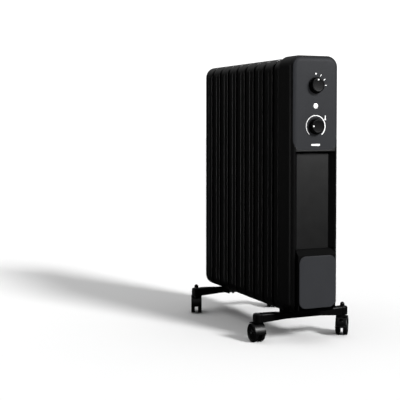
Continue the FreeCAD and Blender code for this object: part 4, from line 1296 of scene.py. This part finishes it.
# studio
@dataclass
class Studio:
    """A pale floor and backdrop, a key light, a dim overhead sky, two sheen panels and the camera."""

    floor_reach: float = 30.0
    key_strength: float = 3.6
    key_spread: float = 13.0
    key_from: tuple[float, float, float] = (0.39, -0.92, 0.64)
    wall_glow: float = 1.2
    sky_low: float = 0.012
    sky_high: float = 1.15
    box_place: tuple[float, float, float] = (0.55, -1.0, 0.9)
    box_aim: tuple[float, float, float] = (0.0, -0.23, 0.4)
    box_size: tuple[float, float] = (0.35, 0.35)
    box_power: float = 26.0
    strip_place: tuple[float, float, float] = (-1.1, 0.25, 0.36)
    strip_aim: tuple[float, float, float] = (-0.12, 0.2, 0.33)
    strip_size: tuple[float, float] = (0.2, 1.0)
    strip_power: float = 0.7
    strip_spread: float = 70.0
    camera_place: tuple[float, float, float] = (-1.015, -1.939, 0.476)
    camera_yaw: float = 23.45
    camera_lens: float = 82.93
    camera_tilt: float = 2.02
    camera_rise: float = 0.11

    def build(self) -> None:
        """Set the whole studio."""
        bpy.context.scene.view_settings.view_transform = "Standard"
        self.floor()
        self.backdrop()
        self.sky()
        self.key()
        self.soft_box("front_box", self.box_place, self.box_aim, self.box_size, self.box_power, 180.0)
        self.soft_box("side_strip", self.strip_place, self.strip_aim, self.strip_size, self.strip_power,
                      self.strip_spread)
        self.camera()

    def floor(self) -> None:
        """Lay the floor, which the heater's glossy faces don't mirror."""
        coat = Coat("floor_white")
        cloud = coat.noise(3.0, detail=2.0)
        coat.set(Base_Color=coat.mix(cloud, (0.84, 0.84, 0.84), (0.86, 0.86, 0.86)), Roughness=0.9,
                 Specular_IOR_Level=0.0)
        reach = self.floor_reach
        skin = Skin()
        corners = [(-reach, -reach, 0), (reach, -reach, 0), (reach, reach, 0), (-reach, reach, 0)]
        skin.faces.append(skin.ring(corners))
        thing = self._staged("floor", skin, coat.material)
        thing.visible_glossy = False

    def backdrop(self) -> None:
        """Set a white wall far round the heater, seen by the camera only."""
        coat = Coat("backdrop_white")
        coat.set(Base_Color=(0.0, 0.0, 0.0, 1.0), Emission_Color=WHITE, Emission_Strength=self.wall_glow,
                 Specular_IOR_Level=0.0)
        skin = Skin()
        skin.stack([[(x, y, z) for x, y in arc(0, 0, self.floor_reach * 0.9, 0, 352.5, 47)]
                    for z in (-1.0, self.floor_reach)])
        thing = self._staged("backdrop", skin, coat.material)
        thing.visible_glossy = thing.visible_diffuse = False
        thing.visible_shadow = thing.visible_transmission = False

    @staticmethod
    def _staged(name: str, skin: Skin, material: bpy.types.Material) -> bpy.types.Object:
        """Add an object of the stage.

        Args:
            name: Its name.
            skin: Its shape.
            material: Its material.

        Returns:
            The object.
        """
        thing = bpy.data.objects.new(name, skin.mesh(name))
        thing.data.materials.append(material)
        bpy.context.scene.collection.objects.link(thing)
        return thing

    def sky(self) -> None:
        """Light from overhead, falling to almost nothing at the horizon."""
        world = bpy.data.worlds.new("studio")
        bpy.context.scene.world = world
        world.use_nodes = True
        tree = Tree(world.node_tree)
        way = tree.node("ShaderNodeTexCoord", {}, {}, "Generated")
        up = tree.node("ShaderNodeSeparateXYZ", {}, {"Vector": way}, "Z")
        raised = up.over(0.0)
        glow = raised * raised * self.sky_high + self.sky_low
        background = world.node_tree.nodes["Background"]
        tree.feed(background.inputs["Color"], WHITE)
        tree.feed(background.inputs["Strength"], glow)

    def key(self) -> None:
        """Set the broad key light, high to the right of the panel."""
        lamp = bpy.data.lights.new("key", "SUN")
        lamp.energy, lamp.angle = self.key_strength, math.radians(self.key_spread)
        thing = bpy.data.objects.new("key", lamp)
        thing.rotation_euler = Vector(self.key_from).to_track_quat("Z", "Y").to_euler()
        bpy.context.scene.collection.objects.link(thing)

    @staticmethod
    def soft_box(name: str, place: Sequence[float], aim: Sequence[float], size: Point, power: float,
                 spread: float) -> None:
        """Hang a light panel that only shows as a sheen on glossy faces.

        Args:
            name: Name of the light.
            place: Where it hangs.
            aim: The point that it faces.
            size: Its width and height.
            power: Its power, in watts.
            spread: Width of its beam, in degrees.
        """
        lamp = bpy.data.lights.new(name, "AREA")
        lamp.shape, lamp.size, lamp.size_y = "RECTANGLE", size[0], size[1]
        lamp.energy, lamp.spread = power, math.radians(spread)
        thing = bpy.data.objects.new(name, lamp)
        thing.location = place
        thing.rotation_euler = (Vector(place) - Vector(aim)).to_track_quat("Z", "Y").to_euler()
        thing.visible_diffuse = thing.visible_camera = False
        bpy.context.scene.collection.objects.link(thing)

    def camera(self) -> None:
        """Place the camera, a little above the heater's middle."""
        data = bpy.data.cameras.new("camera")
        data.lens, data.shift_y = self.camera_lens, -self.camera_rise
        thing = bpy.data.objects.new("camera", data)
        thing.location = self.camera_place
        thing.rotation_euler = (math.radians(90 - self.camera_tilt), 0, -math.radians(self.camera_yaw))
        bpy.context.scene.collection.objects.link(thing)
        bpy.context.scene.camera = thing


def main() -> None:
    """Build every sub-assembly in order."""
    logging.basicConfig(level=logging.INFO, format="%(name)s %(message)s")
    Studio().build()
    Kept.dress()
    Fins().build()
    Housing().build()
    Knob("mode_knob", "mode_control", 0).build()
    Knob("thermostat_knob", "thermostat_control", 270).build()
    StorageDoor().build()
    FootBar("front_foot_bar", 1).build()
    FootBar("rear_foot_bar", -1).build()
    braked = ("front_right", "rear_left")
    for corner in ("front_left", "front_right", "rear_left", "rear_right"):
        Caster(corner, corner in braked).build()


if __name__ == "__main__":
    main()
